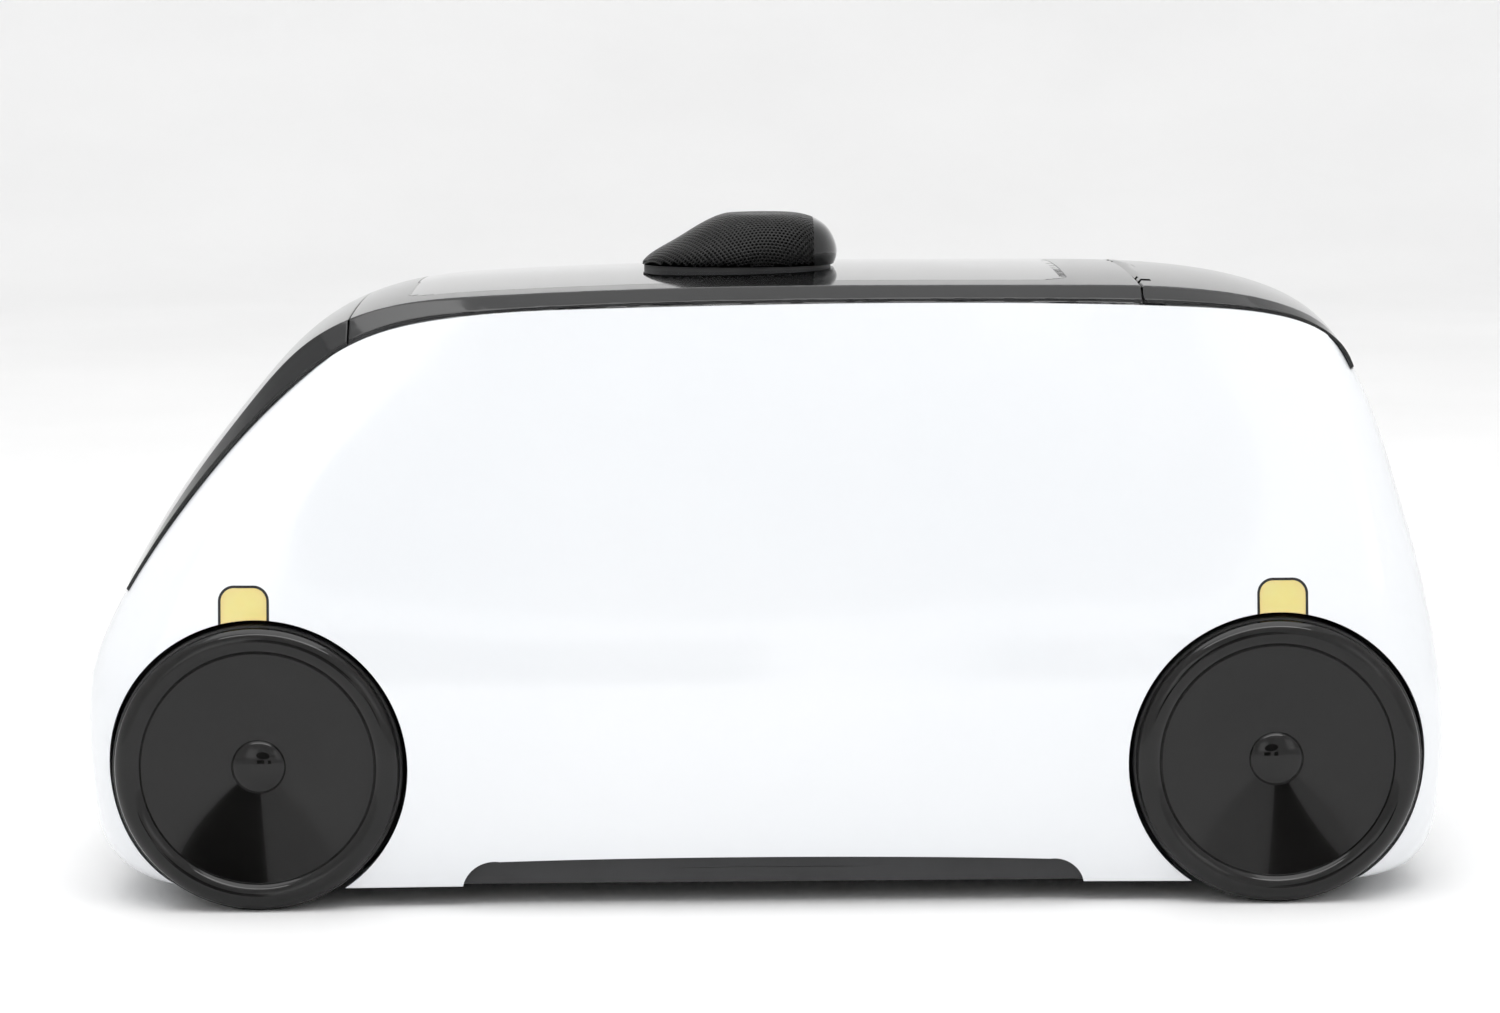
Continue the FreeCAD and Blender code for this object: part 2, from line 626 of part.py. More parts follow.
seals = []
tab_holes = []
for name, side, end, hub_x in LEFT_CORNERS:
    lens_tab = marker_prism("lens_" + name, side, end, "0")
    seal_tab = marker_prism("seal_" + name, side, end, "seal_width")
    lens = common("lens_" + name, trimmed_wall, lens_tab)
    node(group("lens_pair_" + name, [lens, mirrored("lens_twin_" + name, lens)]),
         "front_marker_lenses" if end > 0 else "rear_marker_lenses")
    seal = common("seal_" + name, trimmed_wall, cut("seal_ring_" + name, seal_tab, lens_tab))
    seals += [seal, mirrored("seal_twin_" + name, seal)]
    tab_holes.append(seal_tab)
node(group("lens_seals", seals), "marker_seals")
open_wall = cut("open_wall", trimmed_wall, group("tab_holes", tab_holes))

# Where the tray's screws go: two bosses at each side and one beside the middle of each end.
BOSSES = [("boss_x", "boss_y", 0), ("-boss_x", "boss_y", 0), ("nose_x", "nose_y", 1), ("-nose_x", "nose_y", -1)]
shell_pieces = [open_wall]
boss_holes = []
for number, (x, y, way) in enumerate(BOSSES):
    name = "boss_%d" % number
    shell_pieces.append(cylinder(name, "boss_radius", "boss_top - floor_high", (x, y, "floor_high")))
    if way == 0:
        rib_low, rib_high = (x + " - 1.2", y, "skirt_high + 1"), (x + " + 1.2", "87.6", "boss_top")
    elif way > 0:
        rib_low, rib_high = (x, y + " - 1.2", "skirt_high + 1"), ("205", y + " + 1.2", "boss_top")
    else:
        rib_low, rib_high = ("-206.5", y + " - 1.2", "skirt_high + 1"), (x, y + " + 1.2", "boss_top")
    shell_pieces.append(span_box(name + "_rib", rib_low, rib_high))
    boss_holes.append(cylinder(name + "_hole", "screw_radius", "10", (x, y, "floor_high - 1")))
shell_fused = fuse("left_shell_fused", shell_pieces)
left_shell = node(cut("left_shell_solid", shell_fused, group("boss_holes", boss_holes)), "left_body_shell")
node(mirrored("right_shell_solid", left_shell), "right_body_shell")

# ---------------------------------------------------------------- chassis tray
floor_ring = (value("floor_low"), 192.0, -198.0, 86.8, 26.0)
floor_outline = half_ring("floor_outline", *inset_ring(floor_ring, wall + 0.6, 0.0))
left_floor = new("Part::Extrusion", "left_floor")
left_floor.Base = floor_outline
left_floor.DirMode = "Custom"
left_floor.Dir = FreeCAD.Vector(0, 0, 1)
left_floor.Solid = True
bind(left_floor, "LengthFwd", "floor_high - floor_low")
floor_plate = fuse("floor_plate", [left_floor, mirrored("right_floor", left_floor)])
wells = [side_box("well_" + name, side, (hub_x + " - tub_radius - 1.5", hub_x + " + tub_radius + 1.5"),
                  ("tub_side - 1", "110"), ("0", "60")) for name, side, end, hub_x in CORNERS]
tray_pieces = [cut("floor_welled", floor_plate, group("wells", wells))]
tray_holes = []
for side in (1, -1):
    tag = "left" if side > 0 else "right"
    tray_pieces.append(side_box(tag + "_skirt", side, ("-skirt_half", "skirt_half"),
                                ("skirt_side - skirt_wall", "skirt_side"), ("skirt_low", "skirt_high")))
    tray_pieces.append(side_box(tag + "_skirt_foot", side, ("-skirt_half", "skirt_half"),
                                ("skirt_side - 8", "skirt_side"), ("floor_low", "floor_high")))
for name, side, end, hub_x in CORNERS:
    drum = side_cylinder("tub_" + name, side, "tub_radius", hub_x, ("tub_side - 4", "tub_depth"), "wheel_radius")
    room = side_cylinder("tub_room_" + name, side, "tub_radius - tub_wall", hub_x,
                         ("tub_side", "tub_depth + 1"), "wheel_radius")
    above = side_box("tub_above_" + name, side, (hub_x + " - 60", hub_x + " + 60"), ("40", "100"),
                     ("floor_low", "120"))
    tray_pieces.append(common("tub_cut_" + name, cut("tub_open_" + name, drum, room), above))
    tray_pieces.append(side_cylinder("bearing_boss_" + name, side, "bearing_radius + 3", hub_x,
                                     ("bearing_out - 4", "bearing_out + 1"), "wheel_radius"))
    tray_holes.append(side_cylinder("bearing_seat_" + name, side, "bearing_radius", hub_x,
                                    ("bearing_out", "bearing_out + bearing_width + 2"), "wheel_radius"))
    tray_holes.append(side_cylinder("axle_way_" + name, side, "axle_radius + 1", hub_x, ("50", "70"),
                                    "wheel_radius"))
for side in (1, -1):
    for number, (x, y, way) in enumerate(BOSSES):
        y = y if side > 0 else "-" + y
        tag = "tray_screw_%s_%d" % ("left" if side > 0 else "right", number)
        tray_holes.append(cylinder(tag, "screw_radius + 0.1", "20", (x, y, "0")))
        tray_holes.append(cylinder(tag + "_sink", "screw_head + 0.2", "2", (x, y, "floor_low")))
    for end in (1, -1):
        tag = "accessory_%d_%d" % (side, end)
        tray_holes.append(cylinder(tag, "accessory_radius", "20",
                                   ("%d * accessory_x" % end, "%d * accessory_y" % side, "0")))
tray_holes.append(span_box("switch_window", ("-95", "-7.5", "0"), ("-75", "7.5", "20")))
for side in (1, -1):
    tray_holes.append(side_box("contact_window_%d" % side, side, ("-118", "-104"), ("8", "16"), ("0", "20")))
tray_body = fuse("tray_body", tray_pieces)
node(cut("tray_solid", tray_body, fuse("tray_holes", tray_holes)), "chassis_tray")

# ---------------------------------------------------------------- wheels and drive


def corner_place(thing, side, x, y, z="wheel_radius"):
    """Lay a turned piece with its axis along Y, its outer end away from the middle plane."""
    turn = FreeCAD.Rotation(FreeCAD.Vector(0, 0, 1), 0 if side > 0 else 180)
    thing.Placement = FreeCAD.Placement(FreeCAD.Vector(), turn)
    for letter, expression in zip("xyz", (x, y if side > 0 else "-(%s)" % y, z)):
        bind(thing, ".Placement.Base." + letter, expression)


def disc_corners():
    """Half section of a wheel disc: radius, and distance along the axis from the wheel's outer face."""
    bead_foot = "-bead_height"
    dish_foot = "-bead_height - dish_depth"
    dome_top = "-bead_height - dish_depth + dome_height"
    return [
        ("axle_bore", dish_foot + " - 1"), ("0", dish_foot + " - 1"), ("0", dome_top),
        ("arc", ("dome_radius * 0.6", dome_top + " - dome_height * 0.36")),
        ("dome_radius", dish_foot), ("bead_inner", bead_foot),
        ("arc", ("(bead_inner + bead_outer) / 2", "0")),
        ("bead_outer", bead_foot), ("bead_outer", bead_foot + " - 0.9"),
        ("tyre_inner - 0.02", bead_foot + " - 0.9"), ("tyre_inner - 0.02", "wheel_back - wheel_face"),
        ("tyre_inner - disc_wall", "wheel_back - wheel_face"),
        ("tyre_inner - disc_wall", bead_foot + " - disc_wall - 1.4"),
        ("hub_radius", dish_foot + " - disc_wall - 0.6"), ("hub_radius", "-22"), ("axle_bore", "-22"),
    ]


def tyre_corners():
    front = "-bead_height - 1"
    back = "wheel_back - wheel_face + 0.2"
    return [("tyre_inner", back), ("wheel_radius - tyre_shoulder", back),
            ("arc", ("wheel_radius - tyre_shoulder * 0.293", back + " + tyre_shoulder * 0.293")),
            ("wheel_radius", back + " + tyre_shoulder"), ("wheel_radius", front + " - tyre_shoulder"),
            ("arc", ("wheel_radius - tyre_shoulder * 0.293", front + " - tyre_shoulder * 0.293")),
            ("wheel_radius - tyre_shoulder", front), ("tyre_inner", front)]


def axle_corners():
    """Half section of an axle, from its inner end, with a groove for a snap ring."""
    length = "axle_outer - axle_inner"
    return [("0", "0"), ("axle_radius - 0.4", "0"), ("axle_radius", "0.4"), ("axle_radius", "0.7"),
            ("axle_radius - 0.4", "0.7"), ("axle_radius - 0.4", "1.2"), ("axle_radius", "1.2"),
            ("axle_radius", length), ("0", length)]


def motor_corners():
    """Half section of a motor can with its front boss; the shaft's bore is blind."""
    return [("pinion_shaft + 0.03", "motor_length + plate_thick"), ("pinion_shaft + 0.03", "motor_length - 6"),
            ("0", "motor_length - 6"), ("0", "-1.5"), ("4", "-1.5"), ("4", "0"),
            ("motor_radius - 1.2", "0"), ("motor_radius", "1.2"), ("motor_radius", "motor_length"),
            ("motor_boss", "motor_length"), ("motor_boss", "motor_length + plate_thick")]


bearings = []
bracket_screws = []


def screw(name, x, y, seat, length, facing="up"):
    """A cap screw with its head on the seat height; facing says where the head points."""
    if facing == "up":
        head_low, shank_low = seat, "%s - %s" % (seat, length)
        shank_length = length
    else:
        head_low, shank_low = "%s - screw_head_height" % seat, seat
        shank_length = length
    head = cylinder(name + "_head", "screw_head", "screw_head_height", (x, y, head_low))
    shank = cylinder(name + "_shank", "screw_radius", shank_length, (x, y, shank_low))
    return fuse(name, [head, shank])


for name, side, end, hub_x in CORNERS:
    motor_x = "%s - %d * tooth_module * (gear_teeth + pinion_teeth) / 2" % (hub_x, end)

    disc = node(revolved_body("disc_" + name, disc_corners()), "wheel_disc_" + name)
    corner_place(disc, side, hub_x, "wheel_face")
    tyre = node(revolved_body("tyre_" + name, tyre_corners()), "wheel_tyre_" + name)
    corner_place(tyre, side, hub_x, "wheel_face")
    axle = node(revolved_body("axle_" + name, axle_corners()), "wheel_axle_" + name)
    corner_place(axle, side, hub_x, "axle_inner")

    gear = node(toothed_body("gear_" + name, "gear_teeth", "gear_width", "axle_bore"), "axle_gear_" + name)
    place(gear, (hub_x, "gear_back" if side > 0 else "-gear_back", "wheel_radius"), "Y" if side > 0 else "-Y")
    pinion = node(toothed_body("pinion_" + name, "pinion_teeth", "pinion_width", None,
                               ("pinion_shaft", "pinion_back - motor_back - motor_length + 5", "pinion_width + 1")),
                  "motor_pinion_" + name)
    place(pinion, (motor_x, "pinion_back" if side > 0 else "-pinion_back", "wheel_radius"),
          "Y" if side > 0 else "-Y")
    motor = node(revolved_body("motor_" + name, motor_corners()), "drive_motor_" + name)
    corner_place(motor, side, motor_x, "motor_back")

    plate_y = ("bearing_in", "bearing_in + plate_thick")
    low_x, high_x = (motor_x + " - 14", hub_x + " + 10") if end > 0 else (hub_x + " - 10", motor_x + " + 14")
    upright = side_box("bracket_plate_" + name, side, (low_x, high_x), plate_y, ("floor_high", "60"))
    foot = side_box("bracket_foot_" + name, side, (low_x, high_x), ("24", "bearing_in + plate_thick"),
                    ("floor_high", "floor_high + 3"))
    bracket_body = fuse("bracket_body_" + name, [upright, foot])
    bracket_holes = [
        side_cylinder("bracket_seat_" + name, side, "bearing_radius", hub_x, ("30", "50"), "wheel_radius"),
        side_cylinder("bracket_boss_hole_" + name, side, "motor_boss", motor_x, ("30", "50"), "wheel_radius"),
    ]
    for number, offset in enumerate(("4", "38")):
        screw_x = "%s + %s" % (low_x, offset)
        screw_y = "30" if side > 0 else "-30"
        bracket_holes.append(cylinder("bracket_screw_hole_%s_%d" % (name, number), "screw_radius", "10",
                                      (screw_x, screw_y, "floor_high - 2")))
        bracket_screws.append(screw("bracket_screw_%s_%d" % (name, number), screw_x, screw_y,
                                    "floor_high + 3", "3"))
    node(cut("bracket_" + name, bracket_body, group("bracket_holes_" + name, bracket_holes)),
         "motor_bracket_" + name)
    for place_name, start in (("inner", "bearing_in"), ("outer", "bearing_out")):
        tag = "bearing_%s_%s" % (place_name, name)
        ring = side_cylinder(tag + "_ring", side, "bearing_radius", hub_x,
                             (start, start + " + bearing_width"), "wheel_radius")
        bore = side_cylinder(tag + "_bore", side, "axle_bore", hub_x,
                             (start + " - 1", start + " + bearing_width + 1"), "wheel_radius")
        bearings.append(cut(tag, ring, bore))
node(group("bearings", bearings), "axle_bearings")
node(group("bracket_screw_set", bracket_screws), "bracket_screws")

# ---------------------------------------------------------------- inside the body
battery = node(plate_body("battery_pack", "110", "52", "35"), "battery_pack")
place(battery, ("-5", "0", "floor_high"))
strap_outer = span_box("strap_outer", ("-13", "-27.6", "floor_high"), ("3", "27.6", "floor_high + 36.6"))
strap_inner = span_box("strap_inner", ("-14", "-26.2", "0"), ("4", "26.2", "floor_high + 35.2"))
node(cut("strap_band", strap_outer, strap_inner), "battery_strap")

board_holes = [(x, y, "screw_radius") for x in ("-45", "45") for y in ("-35", "35")]
board = node(plate_body("main_board", "100", "80", "board_thick", board_holes), "control_board")
place(board, ("-5", "0", "board_low"))
driver_holes = [(x, y, "screw_radius") for x in ("-20", "20") for y in ("-24", "24")]
driver = node(plate_body("driver_board", "46", "56", "board_thick", driver_holes), "motor_driver_board")
place(driver, ("85", "0", "driver_low"))
standoffs = []
board_screws = []
for number, (x, y) in enumerate([(x, y) for x in ("-50", "40") for y in ("-35", "35")]):
    standoffs.append(cylinder("tall_standoff_%d" % number, "standoff_radius", "board_low - floor_high",
                              (x, y, "floor_high")))
    board_screws.append(cylinder("board_screw_%d" % number, "screw_head", "screw_head_height",
                                 (x, y, "board_low + board_thick")))
for number, (x, y) in enumerate([(x, y) for x in ("65", "105") for y in ("-24", "24")]):
    standoffs.append(cylinder("short_standoff_%d" % number, "standoff_radius", "driver_low - floor_high",
                              (x, y, "floor_high")))
    board_screws.append(cylinder("driver_screw_%d" % number, "screw_head", "screw_head_height",
                                 (x, y, "driver_low + board_thick")))
node(group("standoff_set", standoffs), "board_standoffs")
node(group("board_screw_set", board_screws), "board_screws")

chassis_screws = []
for side in (1, -1):
    for number, (x, y, way) in enumerate(BOSSES):
        y = y if side > 0 else "-" + y
        chassis_screws.append(screw("chassis_screw_%d_%d" % (side, number), x, y,
                                    "floor_low + 2", "9", "down"))
node(group("chassis_screw_set", chassis_screws), "chassis_screws")

led_boards = []
for name, side, end, hub_x in CORNERS:
    centre = "marker_front" if end > 0 else "marker_rear"
    led_boards.append(side_box("led_board_" + name, side, (centre + " - 5", centre + " + 5"),
                               ("83.4", "85"), ("marker_top - 9", "marker_top - 3")))
node(group("led_board_set", led_boards), "marker_led_boards")

# Power switch in the floor: a housing with a flange, and a rocker resting in its off position.
switch_block = span_box("switch_block", ("-94.9", "-7.4", "floor_low"), ("-75.1", "7.4", "21"))
switch_flange = span_box("switch_flange", ("-97", "-9.5", "floor_low - 1"), ("-73", "9.5", "floor_low"))
switch_room = span_box("switch_room", ("-93.6", "-5.6", "0"), ("-76.4", "5.6", "19"))
switch_pivot_hole = cylinder("switch_pivot_hole", "1.05", "20", ("-85", "-10", "13"), "Y")
switch_hollow = cut("switch_hollow", fuse("switch_outer", [switch_block, switch_flange]), switch_room)
node(cut("switch_drilled", switch_hollow, switch_pivot_hole), "switch_housing")

rocker_body = new("PartDesign::Body", "rocker_body")
rocker_sketch = sketch_on(rocker_body, "rocker_profile", "XZ_Plane")
outline(rocker_sketch, [("-7.6", "-4.6"), ("arc", ("0", "-2.6")), ("7.6", "-4.6"), ("8", "-0.6"),
                        ("3.2", "2.4"), ("-3.2", "2.4"), ("-8", "-0.6")])
rocker_pad = rocker_body.newObject("PartDesign::Pad", "rocker_pad")
rocker_pad.Profile = rocker_sketch
bind(rocker_pad, "Length", "10.4")
rocker_pad.SideType = "Symmetric"
rocker_body.Tip = rocker_pad
rocker_pin = cylinder("rocker_pin", "1", "13.6", ("0", "-6.8", "0"), "Y")
rocker = fuse("rocker_solid", [rocker_body, rocker_pin])
rocker.Placement = FreeCAD.Placement(FreeCAD.Vector(-85, 0, 13), FreeCAD.Rotation(FreeCAD.Vector(0, 1, 0), 8))
node(rocker, "switch_rocker")

contacts = [side_box("charge_contact_%d" % side, side, ("-118", "-104"), ("8", "16"),
                     ("floor_low - 0.6", "floor_high - 0.5")) for side in (1, -1)]
node(group("charge_contact_pair", contacts), "charging_contacts")

# ---------------------------------------------------------------- roof pod


def pod_ring(name, height, nose, tail, half_width, inset=0.0):
    """An egg-shaped ring: blunt behind, narrowing towards the nose."""
    points = []
    middle = (nose + tail) / 2
    half_length = (nose - tail) / 2 - inset
    for step in range(24):
        angle = math.radians(step * 15)
        across = math.copysign(abs(math.sin(angle)) ** 0.8, math.sin(angle))
        ahead = math.copysign(abs(math.cos(angle)) ** 0.8, math.cos(angle))
        narrow = 1 - 0.16 * max(0.0, ahead)
        points.append(FreeCAD.Vector(middle + half_length * ahead, (half_width - inset) * across * narrow, height))
    curve = Part.BSplineCurve()
    curve.interpolate(Points=points, PeriodicFlag=True)
    wire = new("Part::Feature", name)
    wire.Shape = Part.Wire([curve.toShape()])
    return wire


# Height, nose, tail and half width of the pod's cover.
POD_RINGS = [(190.9, 38.6, -23.2, 24.6), (193.0, 37.0, -24.0, 25.0), (198.0, 29.0, -23.6, 23.6),
             (202.5, 21.5, -21.0, 20.6), (205.6, 15.6, -16.4, 16.2), (207.0, 11.0, -10.0, 11.0)]
POD_WALL = 1.2
pod_block = loft("pod_block", [pod_ring("pod_ring_%d" % index, *ring) for index, ring in enumerate(POD_RINGS)])
pod_hollow = loft("pod_hollow", [pod_ring("pod_room_%d" % index, height - (1.0 if index else 1.5), nose, tail,
                                          half_width, POD_WALL + 0.1 * index)
                                 for index, (height, nose, tail, half_width) in enumerate(POD_RINGS)])
node(cut("pod_shell", pod_block, pod_hollow), "pod_cover")
plinth_block = loft("plinth_block", [pod_ring("plinth_low", 186.0, 37.6, -22.2, 23.4),
                                     pod_ring("plinth_high", 190.8, 37.6, -22.2, 23.4)])
plinth_trimmed = cut("plinth_trimmed", plinth_block, under_top("plinth_trim", -5.6, -20.0))
node(cut("plinth_on_roof", plinth_trimmed, strip), "pod_plinth")
node(cylinder("speaker_drum", "13", "9", ("2", "0", "190.9")), "pod_speaker")

# ---------------------------------------------------------------- checks and files
doc.recompute()
for thing in doc.Objects:
    if "Invalid" in thing.State or "Error" in thing.State:
        raise RuntimeError("%s failed: %s" % (thing.Name, thing.State))
os.makedirs("parts", exist_ok=True)
for thing in NODES:
    shape = thing.Shape
    if shape.isNull() or not shape.isValid():
        raise RuntimeError("%s has no valid shape" % thing.Label)
    shape.exportStep("parts/%s.step" % thing.Label)
print(len(NODES), "nodes written")
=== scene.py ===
import json
import math

import bmesh
import bpy
import numpy as np
from mathutils import Matrix, Vector
from mathutils.bvhtree import BVHTree


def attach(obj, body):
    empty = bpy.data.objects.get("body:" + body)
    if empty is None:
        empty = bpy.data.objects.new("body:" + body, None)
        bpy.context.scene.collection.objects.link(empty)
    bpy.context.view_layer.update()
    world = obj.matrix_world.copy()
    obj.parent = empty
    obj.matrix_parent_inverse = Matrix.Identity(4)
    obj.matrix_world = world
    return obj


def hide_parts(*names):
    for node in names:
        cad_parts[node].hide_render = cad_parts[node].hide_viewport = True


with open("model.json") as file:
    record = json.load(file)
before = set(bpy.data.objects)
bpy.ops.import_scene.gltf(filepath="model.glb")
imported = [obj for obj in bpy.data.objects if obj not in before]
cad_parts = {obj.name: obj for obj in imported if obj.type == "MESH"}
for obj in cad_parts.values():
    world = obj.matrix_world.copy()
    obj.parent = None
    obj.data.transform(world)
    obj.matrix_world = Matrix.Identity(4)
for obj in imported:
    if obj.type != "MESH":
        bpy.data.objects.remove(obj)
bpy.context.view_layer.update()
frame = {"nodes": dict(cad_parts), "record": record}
MM = 0.001

# ------------------------------------------------------------ shapes of the body, in millimetres
RINGS = [
    (5.8, 187.2, -192.4, 86.3, 19.6), (9.0, 199.0, -202.8, 87.5, 22.0), (16.0, 206.0, -207.8, 89.1, 23.0),
    (30.0, 210.2, -210.8, 90.9, 24.0), (50.0, 211.6, -211.8, 92.0, 24.0), (68.0, 210.7, -210.3, 91.8, 24.0),
    (85.0, 204.7, -207.3, 90.3, 23.0), (100.0, 196.5, -203.8, 88.3, 21.0), (124.0, 179.6, -196.8, 84.6, 17.0),
    (150.0, 157.2, -188.5, 80.0, 13.0), (170.0, 135.0, -178.9, 76.0, 9.0), (188.0, 113.0, -168.0, 72.4, 6.0),
]
END_BOW = 4.0
SIDE_TAPER = 0.015
HALF_LENGTH = 210.0
TOP_EDGE = [(175.8, 124.4), (157.1, 146.1), (138.5, 163.0), (120.0, 173.9), (98.7, 178.9), (50.0, 181.8),
            (-23.0, 182.9), (-84.0, 182.5), (-132.0, 181.0), (-156.8, 178.2), (-168.0, 174.3), (-175.6, 168.6)]
SHOULDER = [(196.2, 97.0), (176.5, 128.6), (157.6, 153.1), (138.8, 172.2), (120.0, 181.0), (86.0, 185.4),
            (0.0, 187.8), (-90.0, 187.6), (-140.0, 185.2), (-161.0, 180.3), (-170.5, 175.3), (-176.4, 169.0),
            (-180.3, 161.8)]
EDGE = [(195.0, 96.2), (175.8, 124.4), (157.1, 146.1), (138.5, 163.0), (120.0, 173.9), (86.0, 180.0),
        (0.0, 182.7), (-90.0, 182.6), (-140.0, 180.6), (-161.0, 176.9), (-169.5, 173.0), (-174.0, 169.6),
        (-178.6, 161.8)]
SHOULDER_HALF = 66.0
STRIP_HALF = 72.0
STRIP_THICK = 3.2
HATCH_AXIS = (-119.6, 185.0)
HATCH_NOSE = 4.2
LUG_ROOMS = ((36.6, 41.4), (48.6, 53.4))
WALL = 2.8
HUBS = {"left_front": (155.0, 1), "left_rear": (-155.0, 1), "right_front": (155.0, -1), "right_rear": (-155.0, -1)}
HUB_HEIGHT = 44.0
WHEEL_FACE = 93.0
MARKERS = (("front", 158.2), ("rear", -156.0))
TAB_WIDTH, TAB_FOOT, TAB_TOP, TAB_ROUND = 13.9, 80.0, 99.2, 4.0
ARCH_RADIUS = 45.6
STRIP_GAP = 0.35
WINDOW_THICK = 1.2
POCKET_DEPTH = 1.25
CAMERA_PLACE = (0.0176, 1.2859, 0.2699)


# ------------------------------------------------------------ curves and meshes
def spline(points, start=None, end=None):
    """A smooth curve through points. It is read at a point number, such as 2.5 for halfway from 2 to 3."""
    p = np.array(points, float)
    knots = np.concatenate([[0.0], np.cumsum(np.linalg.norm(np.diff(p, axis=0), axis=1))])
    return spline_over(knots, p, start, end)


def spline_over(knots, p, start=None, end=None):
    count = len(knots)
    h = np.diff(knots)
    lhs = np.zeros((count, count))
    rhs = np.zeros((count,) + p.shape[1:])
    for i in range(1, count - 1):
        lhs[i, i - 1:i + 2] = h[i - 1], 2 * (h[i - 1] + h[i]), h[i]
        rhs[i] = 6 * ((p[i + 1] - p[i]) / h[i] - (p[i] - p[i - 1]) / h[i - 1])
    if start is None:
        lhs[0, :2] = 1, -1
    else:
        lhs[0, :2] = 2 * h[0], h[0]
        rhs[0] = 6 * ((p[1] - p[0]) / h[0] - np.array(start))
    if end is None:
        lhs[-1, -2:] = -1, 1
    else:
        lhs[-1, -2:] = h[-1], 2 * h[-1]
        rhs[-1] = 6 * (np.array(end) - (p[-1] - p[-2]) / h[-1])
    bend = np.linalg.solve(lhs, rhs.reshape(count, -1)).reshape(rhs.shape)

    def at(places):
        places = np.asarray(places, float)
        i = np.clip(places.astype(int), 0, count - 2)
        shape = (-1,) + (1,) * (p.ndim - 1)
        step = h[i].reshape(shape)
        b = (places - i).reshape(shape)
        a = 1 - b
        return (a * p[i] + b * p[i + 1]
                + ((a ** 3 - a) * bend[i] + (b ** 3 - b) * bend[i + 1]) * step ** 2 / 6)
    return at


def mesh_object(name, points, faces, smooth=True):
    mesh = bpy.data.meshes.new(name)
    corners = [tuple(p) for p in np.asarray(points, float) * MM]
    mesh.from_pydata(corners, [], [tuple(int(i) for i in f) for f in faces])
    mesh.validate()
    if smooth:
        mesh.shade_smooth()
    thing = bpy.data.objects.new(name, mesh)
    bpy.context.scene.collection.objects.link(thing)
    return thing


def grid_faces(rows, columns, base=0, closed=False, flip=False):
    faces = []
    for r in range(rows - 1):
        for c in range(columns if closed else columns - 1):
            d = (c + 1) % columns
            face = (base + r * columns + c, base + r * columns + d,
                    base + (r + 1) * columns + d, base + (r + 1) * columns + c)
            faces.append(face[::-1] if flip else face)
    return faces


def outward(thing):
    """Turn every face of a closed mesh outwards."""
    bm = bmesh.new()
    bm.from_mesh(thing.data)
    bmesh.ops.recalc_face_normals(bm, faces=bm.faces)
    if bm.calc_volume(signed=True) < 0:
        bmesh.ops.reverse_faces(bm, faces=bm.faces)
    bm.to_mesh(thing.data)
    bm.free()
    return thing


def capped(name, points):
    """A closed solid between two matching outlines, given one after the other."""
    count = len(points) // 2
    faces = [tuple(range(count)), tuple(range(2 * count - 1, count - 1, -1))]
    faces += [(i, i + count, (i + 1) % count + count, (i + 1) % count) for i in range(count)]
    return outward(mesh_object(name, points, faces, smooth=False))


def prism(name, outline, low, high):
    """A closed outline of X, Z points, from one Y to another."""
    return capped(name, [(x, y, z) for y in (low, high) for x, z in outline])


def disc_outline(x, z, radius, count=128):
    turns = np.arange(count) * 2 * math.pi / count
    return [(x + radius * math.cos(t), z + radius * math.sin(t)) for t in turns]


def boolean(name, first, second, operation):
    """A new object from two closed meshes; it leaves both as they are."""
    thing = bpy.data.objects.new(name, first.data.copy())
    bpy.context.scene.collection.objects.link(thing)
    step = thing.modifiers.new("cut", "BOOLEAN")
    step.operation = operation
    step.solver = "MANIFOLD"
    step.object = second
    bpy.context.view_layer.update()
    made = bpy.data.meshes.new_from_object(thing.evaluated_get(bpy.context.evaluated_depsgraph_get()))
    thing.modifiers.clear()
    thing.data = made
    made.name = name
    return thing


def drop(*things):
    for thing in things:
        bpy.data.objects.remove(thing)


def mirrored(name, source):
    """The same mesh on the other side of the middle plane, with its own normals mirrored too."""
    mesh = source.data.copy()
    normals = np.zeros(len(mesh.loops) * 3, np.float32)
    mesh.corner_normals.foreach_get("vector", normals)
    normals = normals.reshape(-1, 3)
    starts = [(f.loop_start, f.loop_total) for f in mesh.polygons]
    mesh.transform(Matrix.Diagonal((1, -1, 1, 1)))
    mesh.flip_normals()
    turned = normals.copy()
    for start, total in starts:
        turned[start] = normals[start]
        turned[start + 1:start + total] = normals[start + 1:start + total][::-1]
    turned[:, 1] *= -1
    mesh.normals_split_custom_set([tuple(n) for n in turned])
    thing = bpy.data.objects.new(name, mesh)
    bpy.context.scene.collection.objects.link(thing)
    return thing


def guide(*things):
    """What a finished piece takes its smooth normals from."""
    tree_points, tree_faces, normals = [], [], []
    for thing in things:
        base = len(tree_points)
        mesh = thing.data
        tree_points += [v.co.copy() for v in mesh.vertices]
        normals += [v.normal.copy() for v in mesh.vertices]
        tree_faces += [tuple(base + i for i in f.vertices) for f in mesh.polygons]
    return BVHTree.FromPolygons(tree_points, tree_faces), tree_points, tree_faces, normals


